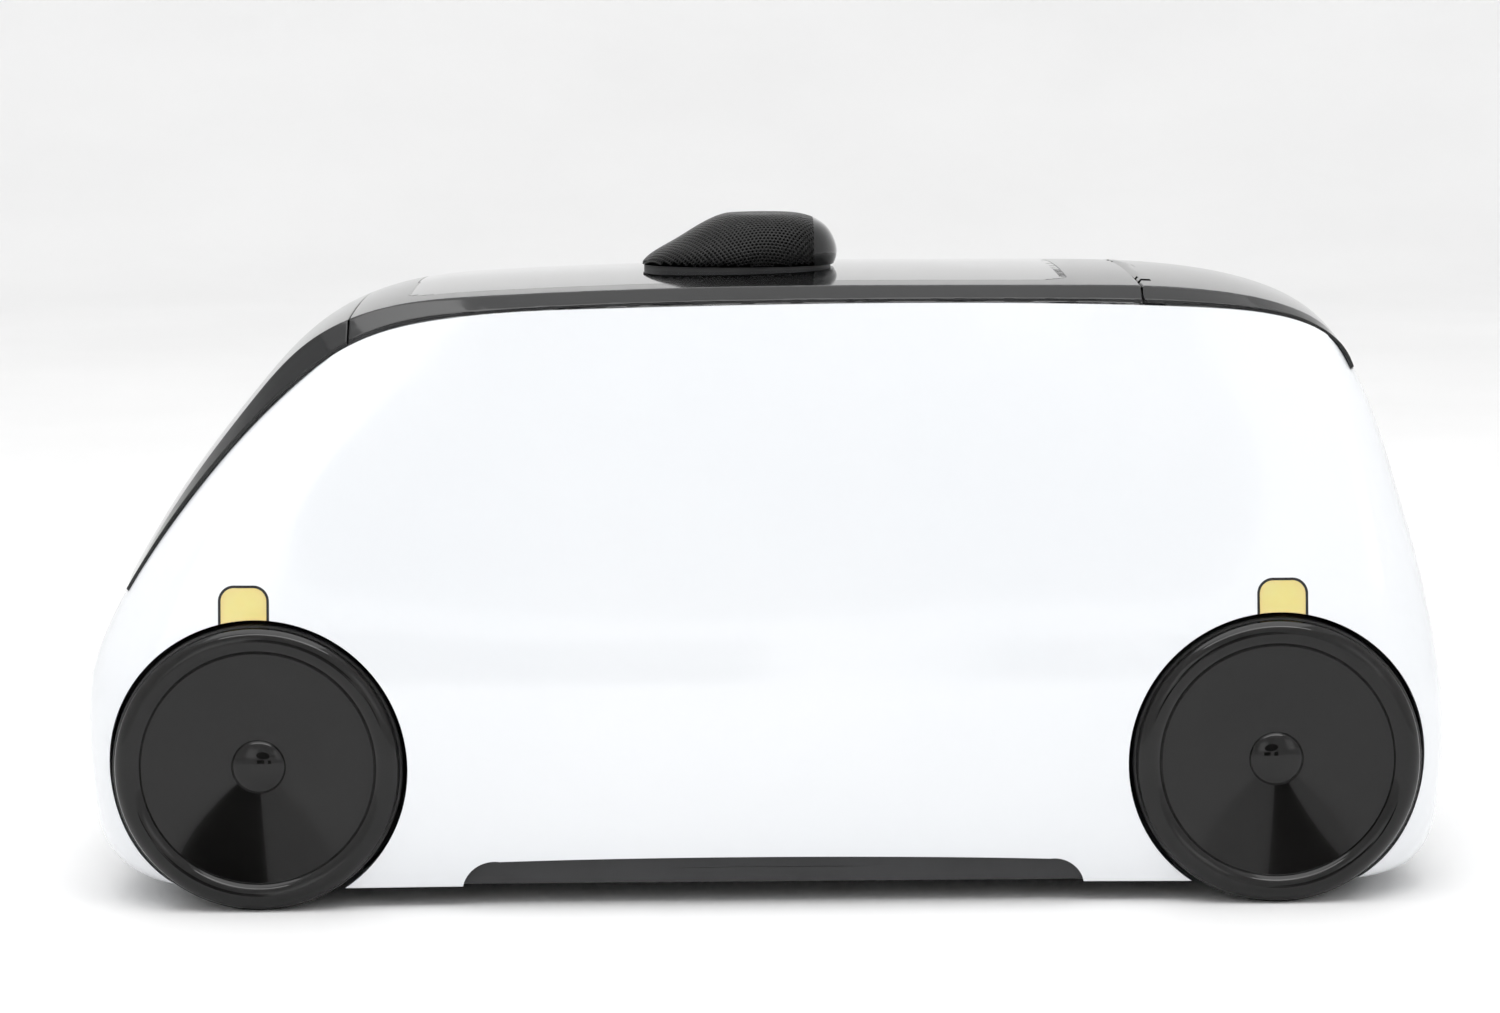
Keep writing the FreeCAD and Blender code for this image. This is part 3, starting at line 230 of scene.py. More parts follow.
def smoothed(thing, guides, reach=0.0004, sharp=0.85):
    """Give each corner the normal of the smooth surface it lies on, so that cuts leave no ripples."""
    mesh = thing.data
    mesh.shade_smooth()
    mesh.update()
    known = {}
    result = []
    for face in mesh.polygons:
        flat = face.normal
        for vertex in face.vertices:
            if vertex not in known:
                found = []
                for tree, points, faces, normals in guides:
                    at, _, index, gap = tree.find_nearest(mesh.vertices[vertex].co)
                    if index is None or gap > reach:
                        continue
                    corners = faces[index]
                    weights = [1.0 / (1e-7 + (points[i] - at).length_squared) for i in corners]
                    normal = Vector((0, 0, 0))
                    for i, weight in zip(corners, weights):
                        normal += normals[i] * weight
                    found.append(normal.normalized())
                known[vertex] = found
            best = max(known[vertex], key=lambda n: abs(n.dot(flat)), default=None)
            if best is not None and abs(best.dot(flat)) > sharp:
                result.append(tuple(best if best.dot(flat) > 0 else -best))
            else:
                result.append(tuple(flat))
    mesh.normals_split_custom_set(result)
    return thing


def lathe(name, outline, centre, side, face, steps=192):
    """Turn a half section of radius, depth points about a wheel's axis; depth 0 is the outer face."""
    points, faces, rings = [], [], []
    for radius, depth in outline:
        if radius < 1e-6:
            rings.append([len(points)])
            points.append((centre[0], side * (face + depth), centre[1]))
            continue
        ring = []
        for step in range(steps):
            turn = 2 * math.pi * step / steps
            ring.append(len(points))
            points.append((centre[0] + radius * math.cos(turn), side * (face + depth),
                           centre[1] + radius * math.sin(turn)))
        rings.append(ring)
    loop = list(zip(rings, rings[1:] + rings[:1]))
    for low, high in loop:
        if len(low) == 1 and len(high) == 1:
            continue
        for step in range(steps):
            a, b = low[step % len(low)], low[(step + 1) % len(low)]
            c, d = high[(step + 1) % len(high)], high[step % len(high)]
            face_ids = [a, b, c, d]
            faces.append([i for n, i in enumerate(face_ids) if i not in face_ids[:n]])
    thing = outward(mesh_object(name, points, faces))
    thing.data.set_sharp_from_angle(angle=math.radians(32))
    return thing


def rounded(points, radii, steps=6):
    """An open run of radius, depth points with its corners rounded."""
    result = [points[0]]
    for index in range(1, len(points) - 1):
        corner = np.array(points[index], float)
        radius = radii[index]
        if radius <= 0:
            result.append(tuple(corner))
            continue
        before, after = np.array(points[index - 1], float) - corner, np.array(points[index + 1], float) - corner
        first, last = np.linalg.norm(before), np.linalg.norm(after)
        reach = min(radius, 0.45 * first, 0.45 * last)
        start, end = corner + before / first * reach, corner + after / last * reach
        for step in range(steps + 1):
            t = step / steps
            result.append(tuple((1 - t) ** 2 * start + 2 * t * (1 - t) * corner + t * t * end))
    result.append(points[-1])
    return result


# ------------------------------------------------------------ materials
class Paint:
    """A material's nodes, with short names for the ones that repeat."""

    def __init__(self, name, **sockets):
        self.material = bpy.data.materials.new(name)
        self.material.use_nodes = True
        self.nodes = self.material.node_tree.nodes
        self.links = self.material.node_tree.links
        self.shader = self.nodes["Principled BSDF"]
        self.place = self.nodes.new("ShaderNodeTexCoord").outputs["Object"]
        for socket, number in sockets.items():
            self.shader.inputs[socket.replace("_", " ")].default_value = number

    def node(self, kind, **inputs):
        made = self.nodes.new(kind)
        for socket, number in inputs.items():
            made.inputs[socket.replace("_", " ")].default_value = number
        return made

    def noise(self, scale, detail=3.0, stretch=None):
        made = self.node("ShaderNodeTexNoise", Scale=scale, Detail=detail)
        where = self.place
        if stretch:
            mapping = self.node("ShaderNodeMapping", Scale=stretch)
            self.links.new(where, mapping.inputs["Vector"])
            where = mapping.outputs["Vector"]
        self.links.new(where, made.inputs["Vector"])
        return made.outputs["Fac"]

    def colours(self, source, stops):
        ramp = self.nodes.new("ShaderNodeValToRGB")
        while len(ramp.color_ramp.elements) < len(stops):
            ramp.color_ramp.elements.new(0.5)
        for element, (place, colour) in zip(ramp.color_ramp.elements, stops):
            element.position = place
            element.color = tuple(colour) + (1.0,)
        self.links.new(source, ramp.inputs["Fac"])
        self.links.new(ramp.outputs["Color"], self.shader.inputs["Base Color"])
        return self

    def roughness(self, source, low, high):
        ranged = self.node("ShaderNodeMapRange")
        ranged.inputs["To Min"].default_value = low
        ranged.inputs["To Max"].default_value = high
        self.links.new(source, ranged.inputs["Value"])
        self.links.new(ranged.outputs["Result"], self.shader.inputs["Roughness"])
        return self

    def bump(self, source, strength, distance):
        bump = self.node("ShaderNodeBump", Strength=strength, Distance=distance)
        self.links.new(source, bump.inputs["Height"])
        self.links.new(bump.outputs["Normal"], self.shader.inputs["Normal"])
        return self


def plain(name, dark, light, rough, grain, depth, strength=0.3, stretch=None, mottle=30.0, **sockets):
    """A finish with mottled colour, uneven gloss and a fine grain."""
    paint = Paint(name, **sockets)
    cloud = paint.noise(mottle, 4.0, stretch)
    paint.colours(cloud, [(0.3, dark), (0.7, light)])
    paint.roughness(cloud, rough[0], rough[1])
    paint.bump(paint.noise(grain, 2.0, stretch), strength, depth)
    return paint.material


MATERIALS = {
    "white_gloss": plain("gloss_white_paint", (0.795, 0.815, 0.84), (0.82, 0.835, 0.855), (0.10, 0.16), 420.0,
                         0.00002, 0.12, mottle=9.0, Coat_Weight=0.6, Coat_Roughness=0.04, Specular_IOR_Level=0.5),
    "black_gloss": plain("gloss_black_panel", (0.0045, 0.0048, 0.0052), (0.0075, 0.0078, 0.0084), (0.06, 0.12), 420.0,
                         0.00002, 0.10, mottle=14.0, Coat_Weight=0.2, Coat_Roughness=0.03, Specular_IOR_Level=0.4),
    "window_gloss": plain("gloss_roof_window", (0.011, 0.0115, 0.012), (0.015, 0.0155, 0.016), (0.04, 0.08), 420.0,
                          0.00002, 0.08, mottle=14.0, Coat_Weight=0.7, Coat_Roughness=0.02),
    "wheel_black": plain("gloss_black_wheel", (0.0035, 0.0034, 0.0033), (0.0065, 0.0062, 0.0060), (0.06, 0.10), 260.0,
                         0.00002, 0.15, mottle=26.0, Coat_Weight=0.3, Coat_Roughness=0.02, Specular_IOR_Level=0.22),
    "tyre": plain("rubber_tread", (0.012, 0.012, 0.012), (0.024, 0.024, 0.024), (0.55, 0.75), 1500.0, 0.0001, 0.5),
    "steel": plain("ground_steel", (0.52, 0.52, 0.53), (0.66, 0.66, 0.67), (0.22, 0.36), 2600.0, 0.00002, 0.3,
                   stretch=(1.0, 0.1, 1.0), Metallic=1.0),
    "acetal": plain("white_gear_plastic", (0.80, 0.79, 0.75), (0.86, 0.85, 0.81), (0.35, 0.5), 1800.0, 0.00003),
    "brass": plain("turned_brass", (0.72, 0.52, 0.22), (0.84, 0.63, 0.30), (0.2, 0.34), 2400.0, 0.00002, 0.3,
                   Metallic=1.0),
    "motor_can": plain("motor_can_plate", (0.40, 0.40, 0.42), (0.52, 0.52, 0.54), (0.28, 0.42), 2200.0, 0.00003, 0.3,
                       stretch=(1.0, 0.05, 1.0), Metallic=1.0),
    "aluminium": plain("bent_aluminium", (0.70, 0.70, 0.71), (0.80, 0.80, 0.81), (0.32, 0.5), 2600.0, 0.00003, 0.3,
                       stretch=(0.1, 1.0, 1.0), Metallic=1.0),
    "dark_plastic": plain("moulded_dark_plastic", (0.022, 0.022, 0.023), (0.034, 0.034, 0.036), (0.42, 0.58), 2200.0,
                          0.00006, 0.4),
    "mesh_black": plain("painted_black_mesh", (0.003, 0.003, 0.003), (0.007, 0.007, 0.007), (0.22, 0.32), 3000.0,
                        0.00002, 0.2, Specular_IOR_Level=0.22),
    "amber_lens": plain("amber_lens_plastic", (0.96, 0.63, 0.20), (0.98, 0.69, 0.27), (0.16, 0.24), 700.0, 0.00004,
                        0.25, mottle=60.0, Subsurface_Weight=0.35, Coat_Weight=0.4, Coat_Roughness=0.06),
    # Pure black with no gloss: painted shade, standing in for the dark inside of the pod seen through the mesh holes;
    # the dark cards behind the camera use it too.
    "shade_black": plain("painted_shade_black", (0.0010, 0.0010, 0.0010), (0.0025, 0.0025, 0.0025), (0.9, 1.0), 2400.0,
                        0.00004, 0.4, Specular_IOR_Level=0.0),
    "seal_rubber": plain("black_seal_rubber", (0.006, 0.006, 0.006), (0.013, 0.013, 0.013), (0.4, 0.6), 2400.0,
                         0.00004, 0.4),
    "board_white": plain("white_light_board", (0.78, 0.79, 0.78), (0.86, 0.87, 0.86), (0.3, 0.45), 1200.0, 0.00003),
    "battery_wrap": plain("battery_shrink_wrap", (0.02, 0.09, 0.26), (0.03, 0.13, 0.36), (0.2, 0.4), 320.0, 0.0002,
                          0.5, stretch=(1.0, 0.2, 1.0)),
    "rocker_red": plain("red_rocker_plastic", (0.42, 0.018, 0.014), (0.52, 0.026, 0.020), (0.25, 0.38), 1500.0,
                        0.00004),
}


def circuit_board():
    paint = Paint("green_circuit_board")
    cells = paint.node("ShaderNodeTexVoronoi", Scale=260.0)
    cells.distance = "MANHATTAN"
    cells.feature = "F1"
    paint.links.new(paint.place, cells.inputs["Vector"])
    paint.colours(cells.outputs["Distance"], [(0.18, (0.03, 0.16, 0.07)), (0.24, (0.012, 0.085, 0.035)),
                                              (0.62, (0.010, 0.075, 0.030)), (0.68, (0.025, 0.14, 0.06))])
    paint.roughness(paint.noise(90.0), 0.25, 0.4)
    paint.bump(cells.outputs["Distance"], 0.3, 0.00008)
    return paint.material


def woven_webbing():
    paint = Paint("woven_strap_webbing", Sheen_Weight=0.3)
    weave = paint.node("ShaderNodeTexWave", Scale=520.0, Distortion=0.6)
    weave.wave_type = "BANDS"
    weave.bands_direction = "DIAGONAL"
    paint.links.new(paint.place, weave.inputs["Vector"])
    paint.colours(weave.outputs["Fac"], [(0.2, (0.012, 0.012, 0.013)), (0.8, (0.045, 0.045, 0.048))])
    paint.roughness(paint.noise(200.0), 0.75, 0.9)
    paint.bump(weave.outputs["Fac"], 0.6, 0.0003)
    return paint.material


MATERIALS["board_green"] = circuit_board()
MATERIALS["webbing"] = woven_webbing()


def finish(thing, body, slot, nodes=(), paint=None):
    """Paint a piece, attach it to its body and hide the CAD nodes it replaces."""
    thing.data.materials.clear()
    thing.data.materials.append(MATERIALS[paint or slot])
    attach(thing, body)
    if nodes:
        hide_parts(*nodes)
    return thing


slots = {part["node"]: part["material_slot"] for part in frame["record"]["subparts"]}
for name, thing in frame["nodes"].items():
    for holder in thing.material_slots:
        holder.material = MATERIALS[slots[name]]

# ------------------------------------------------------------ the white body's surface
FINE = 1


def half_points(nose, tail, half_width, corner):
    ends = []
    flat = half_width - corner
    for end in (nose, tail):
        run = [(step * flat, 0.0) for step in (0.0, 0.35, 0.7)]
        for angle in (0.0, 22.5, 45.0, 67.5, 90.0):
            turned = math.radians(angle)
            run.append((flat + corner * math.sin(turned), corner * (1 - math.cos(turned))))
        sign = math.copysign(1.0, end)
        ends.append([(end - sign * (END_BOW * (y / half_width) ** 2 + back), y) for y, back in run])
    front, rear = ends
    start, stop = front[-1][0], rear[-1][0]
    along = [(start + (stop - start) * step, half_width) for step in (0.2, 0.4, 0.6, 0.8)]
    return [(x, y * (1 - SIDE_TAPER * (x / HALF_LENGTH) ** 2)) for x, y in front + along + rear[::-1]]


def body_block(name, rings, past):
    """The left half of the body as a closed block; its flat side lies past the middle plane."""
    sections = []
    for height, nose, tail, half_width, corner in rings:
        run = half_points(nose, tail, half_width, corner)
        count = len(run)
        places = np.concatenate([np.arange(0, 7, 0.125), np.arange(7, 12, 0.1), np.arange(12, count - 1, 0.125),
                                 [count - 1.0]])[::FINE]
        if places[-1] != count - 1.0:
            places = np.append(places, count - 1.0)
        flat = spline(run, start=(0, 1), end=(0, -1))(places)
        sections.append(np.column_stack([flat, np.full(len(flat), height)]))
    stack = np.array(sections)
    gaps = np.linalg.norm(np.diff(stack, axis=0), axis=2).mean(axis=1)
    knots = np.concatenate([[0.0], np.cumsum(gaps)])
    levels = np.linspace(0, len(rings) - 1, (len(rings) - 1) * (8 // FINE) + 1)
    skin = spline_over(knots, stack)(levels)
    flap = skin[:, [0, -1]].copy()
    flap[:, :, 1] = past
    ring = np.concatenate([flap[:, :1], skin, flap[:, 1:]], axis=1)
    rows, columns = ring.shape[:2]
    faces = grid_faces(rows, columns, closed=True)
    faces.append(tuple(range(columns)))
    faces.append(tuple(range(rows * columns - 1, (rows - 1) * columns - 1, -1)))
    block = outward(mesh_object(name, ring.reshape(-1, 3), faces))
    skin_rows, skin_columns = skin.shape[:2]
    surface = mesh_object(name + "_skin", skin.reshape(-1, 3), grid_faces(skin_rows, skin_columns))
    return block, surface


def inset_ring(ring, inset):
    height, nose, tail, half_width, corner = ring
    deep = inset + 0.035 * max(0.0, 20.0 - height) ** 2
    lower = 1.0 if height > 60 else 0.0
    return (height - lower, nose - deep, tail + deep, half_width - inset, corner - 0.6 * inset)


def under_top(name, lower, floor):
    crest = [(x, z - lower) for x, z in TOP_EDGE[2:]]
    curve = spline(crest)(np.linspace(0, len(crest) - 1, 140))
    outline = [tuple(p) for p in curve] + [(-240.0, 110.0), (-240.0, floor), (240.0, floor), (240.0, 60.0),
                                           (160.0, crest[0][1] - 6.0)]
    return prism(name, outline, -110.0, 110.0)


def combined(start, steps):
    """Cut or keep in turn, and clear away what was used."""
    now, name = start, start.name
    for operation, tool in steps:
        after = boolean(name, now, tool, operation)
        drop(now, tool)
        now = after
    return now


outer, outer_skin = body_block("body_outer", RINGS, -6.0)
inner, inner_skin = body_block("body_inner", [inset_ring(ring, WALL) for ring in RINGS], -12.0)
body_guides = [guide(outer_skin), guide(inner_skin)]
cavity = combined(inner, [("INTERSECT", under_top("ceiling_trim", WALL, -20.0))])
crest = [(x, z - 12.0) for x, z in TOP_EDGE]
opening = [tuple(p) for p in spline(crest)(np.linspace(0, len(crest) - 1, 120))]
opening += [(-178.2, 160.9), (-215.0, 161.6), (-215.0, 240.0), (205.0, 240.0), (205.0, 98.0)]


def arc_run(first, middle, last, count=24):
    """Points on the circle through three points."""
    (ax, ay), (bx, by), (cx, cy) = first, middle, last
    d = 2 * (ax * (by - cy) + bx * (cy - ay) + cx * (ay - by))
    ux = ((ax ** 2 + ay ** 2) * (by - cy) + (bx ** 2 + by ** 2) * (cy - ay) + (cx ** 2 + cy ** 2) * (ay - by)) / d
    uy = ((ax ** 2 + ay ** 2) * (cx - bx) + (bx ** 2 + by ** 2) * (ax - cx) + (cx ** 2 + cy ** 2) * (bx - ax)) / d
    radius = math.hypot(ax - ux, ay - uy)
    turns = [math.atan2(y - uy, x - ux) for x, y in (first, middle, last)]
    turns = list(np.unwrap(turns))
    return [(ux + radius * math.cos(t), uy + radius * math.sin(t)) for t in np.linspace(turns[0], turns[2], count)]


sill = [(93.5, -4.0)] + arc_run((93.5, 6.0), (89.6, 12.3), (82.0, 14.2))
sill += arc_run((82.0, 14.2), (-2.0, 15.3), (-86.0, 13.8), 60)[1:]
sill += arc_run((-86.0, 13.8), (-92.8, 12.0), (-96.4, 6.0))[1:] + [(-96.4, -4.0)]


def tab_outline(centre, margin):
    """The marker's upright tab with rounded top corners."""
    half, top, radius = TAB_WIDTH / 2 + margin, TAB_TOP + margin, TAB_ROUND + margin
    points = [(centre - half, TAB_FOOT)]
    for middle, first in ((centre - half + radius, 180.0), (centre + half - radius, 90.0)):
        for step in range(13):
            turn = math.radians(first - 7.5 * step)
            points.append((middle + radius * math.cos(turn), top - radius + radius * math.sin(turn)))
    return points + [(centre + half, TAB_FOOT)]


# ------------------------------------------------------------ the black strip over the car
def pushed(points, distance):
    p = np.array(points, float)
    along = np.empty_like(p)
    along[1:-1] = p[2:] - p[:-2]
    along[0], along[-1] = p[1] - p[0], p[-1] - p[-2]
    along /= np.linalg.norm(along, axis=1)[:, None]
    return p + np.column_stack([along[:, 1], -along[:, 0]]) * distance


def strip_curves(y):
    """Upper and lower points of the strip's section at a distance from the middle plane."""
    shoulder = np.array(SHOULDER)
    if abs(y) <= SHOULDER_HALF:
        rise = 1 - (y / SHOULDER_HALF) ** 2
        ahead = 3.0 * rise * (shoulder[:, 0] / 196.0) ** 3
        top = shoulder + np.column_stack([ahead, np.full(len(shoulder), 2.2 * rise)])
        return top, pushed(top, -STRIP_THICK)
    share = (abs(y) - SHOULDER_HALF) / (STRIP_HALF - SHOULDER_HALF)
    top = shoulder * (1 - share) + pushed(EDGE, 1.2) * share
    low = pushed(shoulder, -STRIP_THICK) * (1 - share) + pushed(EDGE, 0.2) * share
    return top, low


def border(count, length, radius):
    """Places from 0 to 1 that crowd at both ends, where the edge is rounded."""
    near = np.array([0.0, 0.06, 0.2, 0.42, 0.7, 1.0, 1.6]) * radius / length
    return np.concatenate([near, np.linspace(near[-1], 1 - near[-1], count + 2)[1:-1], 1 - near[::-1]])


def fall(distance, radius):
    """Depth of a quarter round at a distance from the edge."""
    inside = np.clip(radius - distance, 0, radius)
    return radius - np.sqrt(np.maximum(radius ** 2 - inside ** 2, 0))


def strip_slab(name, front, back, sides=(-STRIP_HALF, STRIP_HALF), edge=0.45):
    """One panel of the strip between two seams, with softly rounded edges."""
    across = sides[0] + (sides[1] - sides[0]) * border(64 // FINE, sides[1] - sides[0], edge)
    across = np.sort(np.unique(np.concatenate([across, [-SHOULDER_HALF, SHOULDER_HALF, -66.5, -65.4, 65.4, 66.5]])))
    across = across[(across >= sides[0]) & (across <= sides[1])]
    length = abs(front - back)
    along = border(max(int(length / 2.5) // FINE, 12), length, edge)
    dense = np.linspace(0, len(SHOULDER) - 1, 1400)
    tops, lows = [], []
    for y in across:
        top_points, low_points = strip_curves(y)
        top_curve, low_curve = spline(top_points)(dense), spline(low_points)(dense)
        xs = top_curve[:, 0]
        ends = [float(np.interp(-np.clip(seam, xs.min(), xs.max()), -xs, dense)) for seam in (front, back)]
        steps = np.linalg.norm(np.diff(top_curve, axis=0), axis=1)
        arc = np.concatenate([[0.0], np.cumsum(steps)])
        arc_ends = np.interp(ends, dense, arc)
        places = np.interp(arc_ends[0] + (arc_ends[1] - arc_ends[0]) * along, arc, dense)
        for curve, rows in ((top_curve, tops), (low_curve, lows)):
            rows.append(np.column_stack([np.interp(places, dense, curve[:, 0]), np.full(len(places), y),
                                         np.interp(places, dense, curve[:, 1])]))
    top, low = np.array(tops), np.array(lows)
    run = np.gradient(top, axis=1)
    over = np.gradient(top, axis=0)
    normal = np.cross(over, run)
    normal /= np.linalg.norm(normal, axis=2)[:, :, None]
    normal *= np.sign(normal[:, :, 2:3] + 1e-9)
    from_side = np.minimum(across - across[0], across[-1] - across)[:, None]
    reach = along * length
    from_end = np.minimum(reach, length - reach)[None, :]
    depth = np.maximum(fall(from_side, edge), fall(from_end, edge))
    top = top - normal * depth[:, :, None]
    rows, columns = top.shape[:2]
    points = np.concatenate([top.reshape(-1, 3), low.reshape(-1, 3)])
    faces = grid_faces(rows, columns) + grid_faces(rows, columns, base=rows * columns, flip=True)
    rim = ([(0, c) for c in range(columns)] + [(r, columns - 1) for r in range(1, rows)]
           + [(rows - 1, c) for c in range(columns - 2, -1, -1)] + [(r, 0) for r in range(rows - 2, 0, -1)])
    ids = [r * columns + c for r, c in rim]
    for a, b in zip(ids, ids[1:] + ids[:1]):
        faces.append((a, b, b + rows * columns, a + rows * columns))
    slab = outward(mesh_object(name, points, faces))
    slab.data.set_sharp_from_angle(angle=math.radians(40))
    return slab


windshield = strip_slab("windshield_glass", 300.0, 127.2)
roof = strip_slab("roof_panel_skin", 126.8, -115.0)
nose_turns = np.radians(np.linspace(-90, 90, 49))
nose_room = [(HATCH_AXIS[0] + HATCH_NOSE * math.cos(t), HATCH_AXIS[1] + HATCH_NOSE * math.sin(t))
             for t in nose_turns]
nose_room += [(HATCH_AXIS[0], 230.0), (-230.0, 230.0), (-230.0, 60.0), (HATCH_AXIS[0], 60.0)]
hatch_blank = strip_slab("rear_hatch_blank", -115.0, -300.0)
hatch_tool = prism("nose_room", nose_room, -100.0, 100.0)
hatch = boolean("rear_hatch_skin", hatch_blank, hatch_tool, "INTERSECT")
hatch_steps = []
for side in (1, -1):
    for near, far in LUG_ROOMS:
        low, high = sorted((side * near, side * far))
        ahead_of_axis = [(-119.6, 179.0), (-113.6, 179.0), (-113.6, 188.2), (-119.6, 188.2)]
        hatch_steps.append(("DIFFERENCE", prism("lug_room", ahead_of_axis, low, high)))
        hatch_steps.append(("DIFFERENCE", prism("eye_room", disc_outline(*HATCH_AXIS, 2.35, 64), low, high)))
    low, high = sorted((side * LUG_ROOMS[0][1], side * LUG_ROOMS[1][0]))
    hatch_steps.append(("UNION", prism("knuckle", disc_outline(*HATCH_AXIS, 2.0, 64), low, high)))
    hatch_steps.append(("DIFFERENCE", prism("pin_bore", disc_outline(*HATCH_AXIS, 0.85, 32), low - 2, high + 2)))
hatch = combined(hatch, hatch_steps)
smoothed(hatch, [guide(hatch_blank)], 0.0003, 0.9)
drop(hatch_blank, hatch_tool)

window_points = []
for cx, cy, first in ((100.0, 44.0, 0.0), (-84.0, 44.0, 90.0), (-84.0, -44.0, 180.0), (100.0, -44.0, 270.0)):
    for step in range(13):
        turn = math.radians(first + 7.5 * step)
        window_points.append((cx + 10.0 * math.cos(turn), cy + 10.0 * math.sin(turn)))


def upright(name, outline, low, high, grow=0.0):
    """A closed outline of X, Y points, from one height to another."""
    middle = np.mean(outline, axis=0)
    shifted = [np.array(p) + grow * np.sign(np.array(p) - middle) for p in outline]
    return capped(name, [(x, y, z) for z in (low, high) for x, y in shifted])


def lowered_copy(name, source, depth):
    """A copy of a piece, so many millimetres lower."""
    thing = bpy.data.objects.new(name, source.data.copy())
    thing.data.transform(Matrix.Translation((0, 0, -depth * MM)))
    bpy.context.scene.collection.objects.link(thing)
    return thing


roof_guides = [guide(roof)]
lowered = lowered_copy("roof_lowered", roof, WINDOW_THICK)
lowered_guides = [guide(lowered)]
window_block = upright("window_block", window_points, 150, 230)
pocket_block = upright("pocket_block", window_points, 150, 230, 0.22)
window = combined(boolean("roof_window_glass", roof, window_block, "INTERSECT"), [("DIFFERENCE", lowered)])
pocket = boolean("window_pocket", pocket_block, roof, "INTERSECT")
shelf = lowered_copy("pocket_shelf", roof, POCKET_DEPTH)
pocket = combined(pocket, [("DIFFERENCE", shelf)])
roof_cut = boolean("roof_panel_shell", roof, pocket, "DIFFERENCE")
smoothed(roof_cut, roof_guides + lowered_guides, 0.0003, 0.9)
smoothed(window, roof_guides + lowered_guides, 0.0003, 0.9)
drop(roof, pocket, window_block, pocket_block)

# ------------------------------------------------------------ the white shells, lenses and seals
full_strip = strip_slab("strip_cutter", 300.0, -300.0, (-STRIP_HALF - STRIP_GAP, STRIP_HALF + STRIP_GAP), edge=0.02)
full_strip.data.transform(Matrix.Translation((0, 0, -STRIP_GAP * MM)))
upper_strip = strip_slab("strip_upper", 300.0, -300.0, (-STRIP_HALF - STRIP_GAP, STRIP_HALF + STRIP_GAP), edge=0.02)
half_room = prism("left_half", [(-260, -20), (260, -20), (260, 240), (-260, 240)], 0.09, 120.0)
shell = combined(outer, [
    ("INTERSECT", under_top("roof_trim", 0.0, 6.3)), ("INTERSECT", half_room), ("DIFFERENCE", cavity),
    ("DIFFERENCE", prism("top_opening", opening, -64.0, 64.0)),
    ("DIFFERENCE", full_strip), ("DIFFERENCE", upper_strip),
    ("DIFFERENCE", prism("nose_relief", disc_outline(*HATCH_AXIS, HATCH_NOSE + 0.4), -72.4, 72.4)),
    ("DIFFERENCE", prism("sill_notch", sill, 60.0, 110.0)),
    ("DIFFERENCE", prism("arch_front", disc_outline(155.0, HUB_HEIGHT, ARCH_RADIUS), 60.0, 110.0)),
    ("DIFFERENCE", prism("arch_rear", disc_outline(-155.0, HUB_HEIGHT, ARCH_RADIUS), 60.0, 110.0)),
])
for end, centre in MARKERS:
    lens_tool = prism("lens_tool", tab_outline(centre, -0.02), 70.0, 100.0)
    ring_tool = prism("ring_tool", tab_outline(centre, 0.02), 69.0, 101.0)
    seal_tool = prism("seal_tool", tab_outline(centre, 0.8), 70.0, 100.0)
    lens = boolean("%s_marker_lens_left" % end, shell, lens_tool, "INTERSECT")
    seal = combined(boolean("%s_marker_seal_left" % end, shell, seal_tool, "INTERSECT"),
                    [("DIFFERENCE", ring_tool)])
    seal.name = "%s_marker_seal_left" % end
    after = boolean("body_shell", shell, seal_tool, "DIFFERENCE")
    drop(shell, lens_tool, seal_tool)
    shell = after
    for piece, slot, node in ((lens, "amber_lens", end + "_marker_lenses"), (seal, "seal_rubber", "marker_seals")):
        smoothed(piece, body_guides)
        twin = mirrored(piece.name.replace("left", "right"), piece)
        finish(piece, "chassis", slot, [node])
        finish(twin, "chassis", slot, [node])
shell.name = "left_shell_body"
smoothed(shell, body_guides)
right = mirrored("right_shell_body", shell)
finish(shell, "chassis", "white_gloss", ["left_body_shell"])
finish(right, "chassis", "white_gloss", ["right_body_shell"])
drop(outer_skin, inner_skin)

finish(windshield, "chassis", "black_gloss", ["windshield"])
finish(roof_cut, "chassis", "black_gloss", ["roof_panel"])
finish(window, "chassis", "black_gloss", ["roof_window"], "window_gloss")
finish(hatch, "hatch", "black_gloss", ["rear_hatch"])

# ------------------------------------------------------------ wheels
bead = [(35.2 + 8.0 * t, -2.6 + 2.6 * math.sin(math.pi * t) ** 0.75) for t in np.linspace(0, 1, 33)]
dome = [(8.3 * math.sin(a), -6.2 + 2.8 * math.cos(a) ** 1.3) for a in np.linspace(0, math.pi / 2, 20)]
DISC = [(0.0, -7.2), (0.0, -3.4)] + dome[1:-1] + [(8.3, -6.2), (8.75, -6.14)]
DISC += [(r, -6.2 + 3.6 * (r - 8.3) / 26.9) for r in np.linspace(9.4, 34.6, 24)] + bead
DISC += [(43.2, -3.5), (40.98, -3.5), (40.98, -27.0), (38.6, -27.0), (38.6, -6.4), (8.5, -9.2), (8.5, -22.0),
         (3.02, -22.0), (3.02, -7.2)]
TREAD = rounded([(41.0, -26.8), (44.0, -26.8), (44.0, -3.6), (41.0, -3.6)], [0, 1.0, 1.0, 0], 8)
for name, (hub_x, side) in HUBS.items():
    hub = (hub_x, HUB_HEIGHT)
    finish(lathe("wheel_face_" + name, DISC, hub, side, WHEEL_FACE), "wheel_" + name, "wheel_black",
           ["wheel_disc_" + name])
    finish(lathe("wheel_tread_" + name, TREAD, hub, side, WHEEL_FACE), "wheel_" + name, "tyre",
           ["wheel_tyre_" + name])

# ------------------------------------------------------------ roof pod
POD_RINGS = [(190.9, 38.6, -23.2, 24.6), (193.0, 37.0, -24.0, 25.0), (198.0, 29.0, -23.6, 23.6),
             (202.5, 21.5, -21.0, 20.6), (205.6, 15.6, -16.4, 16.2), (207.0, 11.0, -10.0, 11.0)]


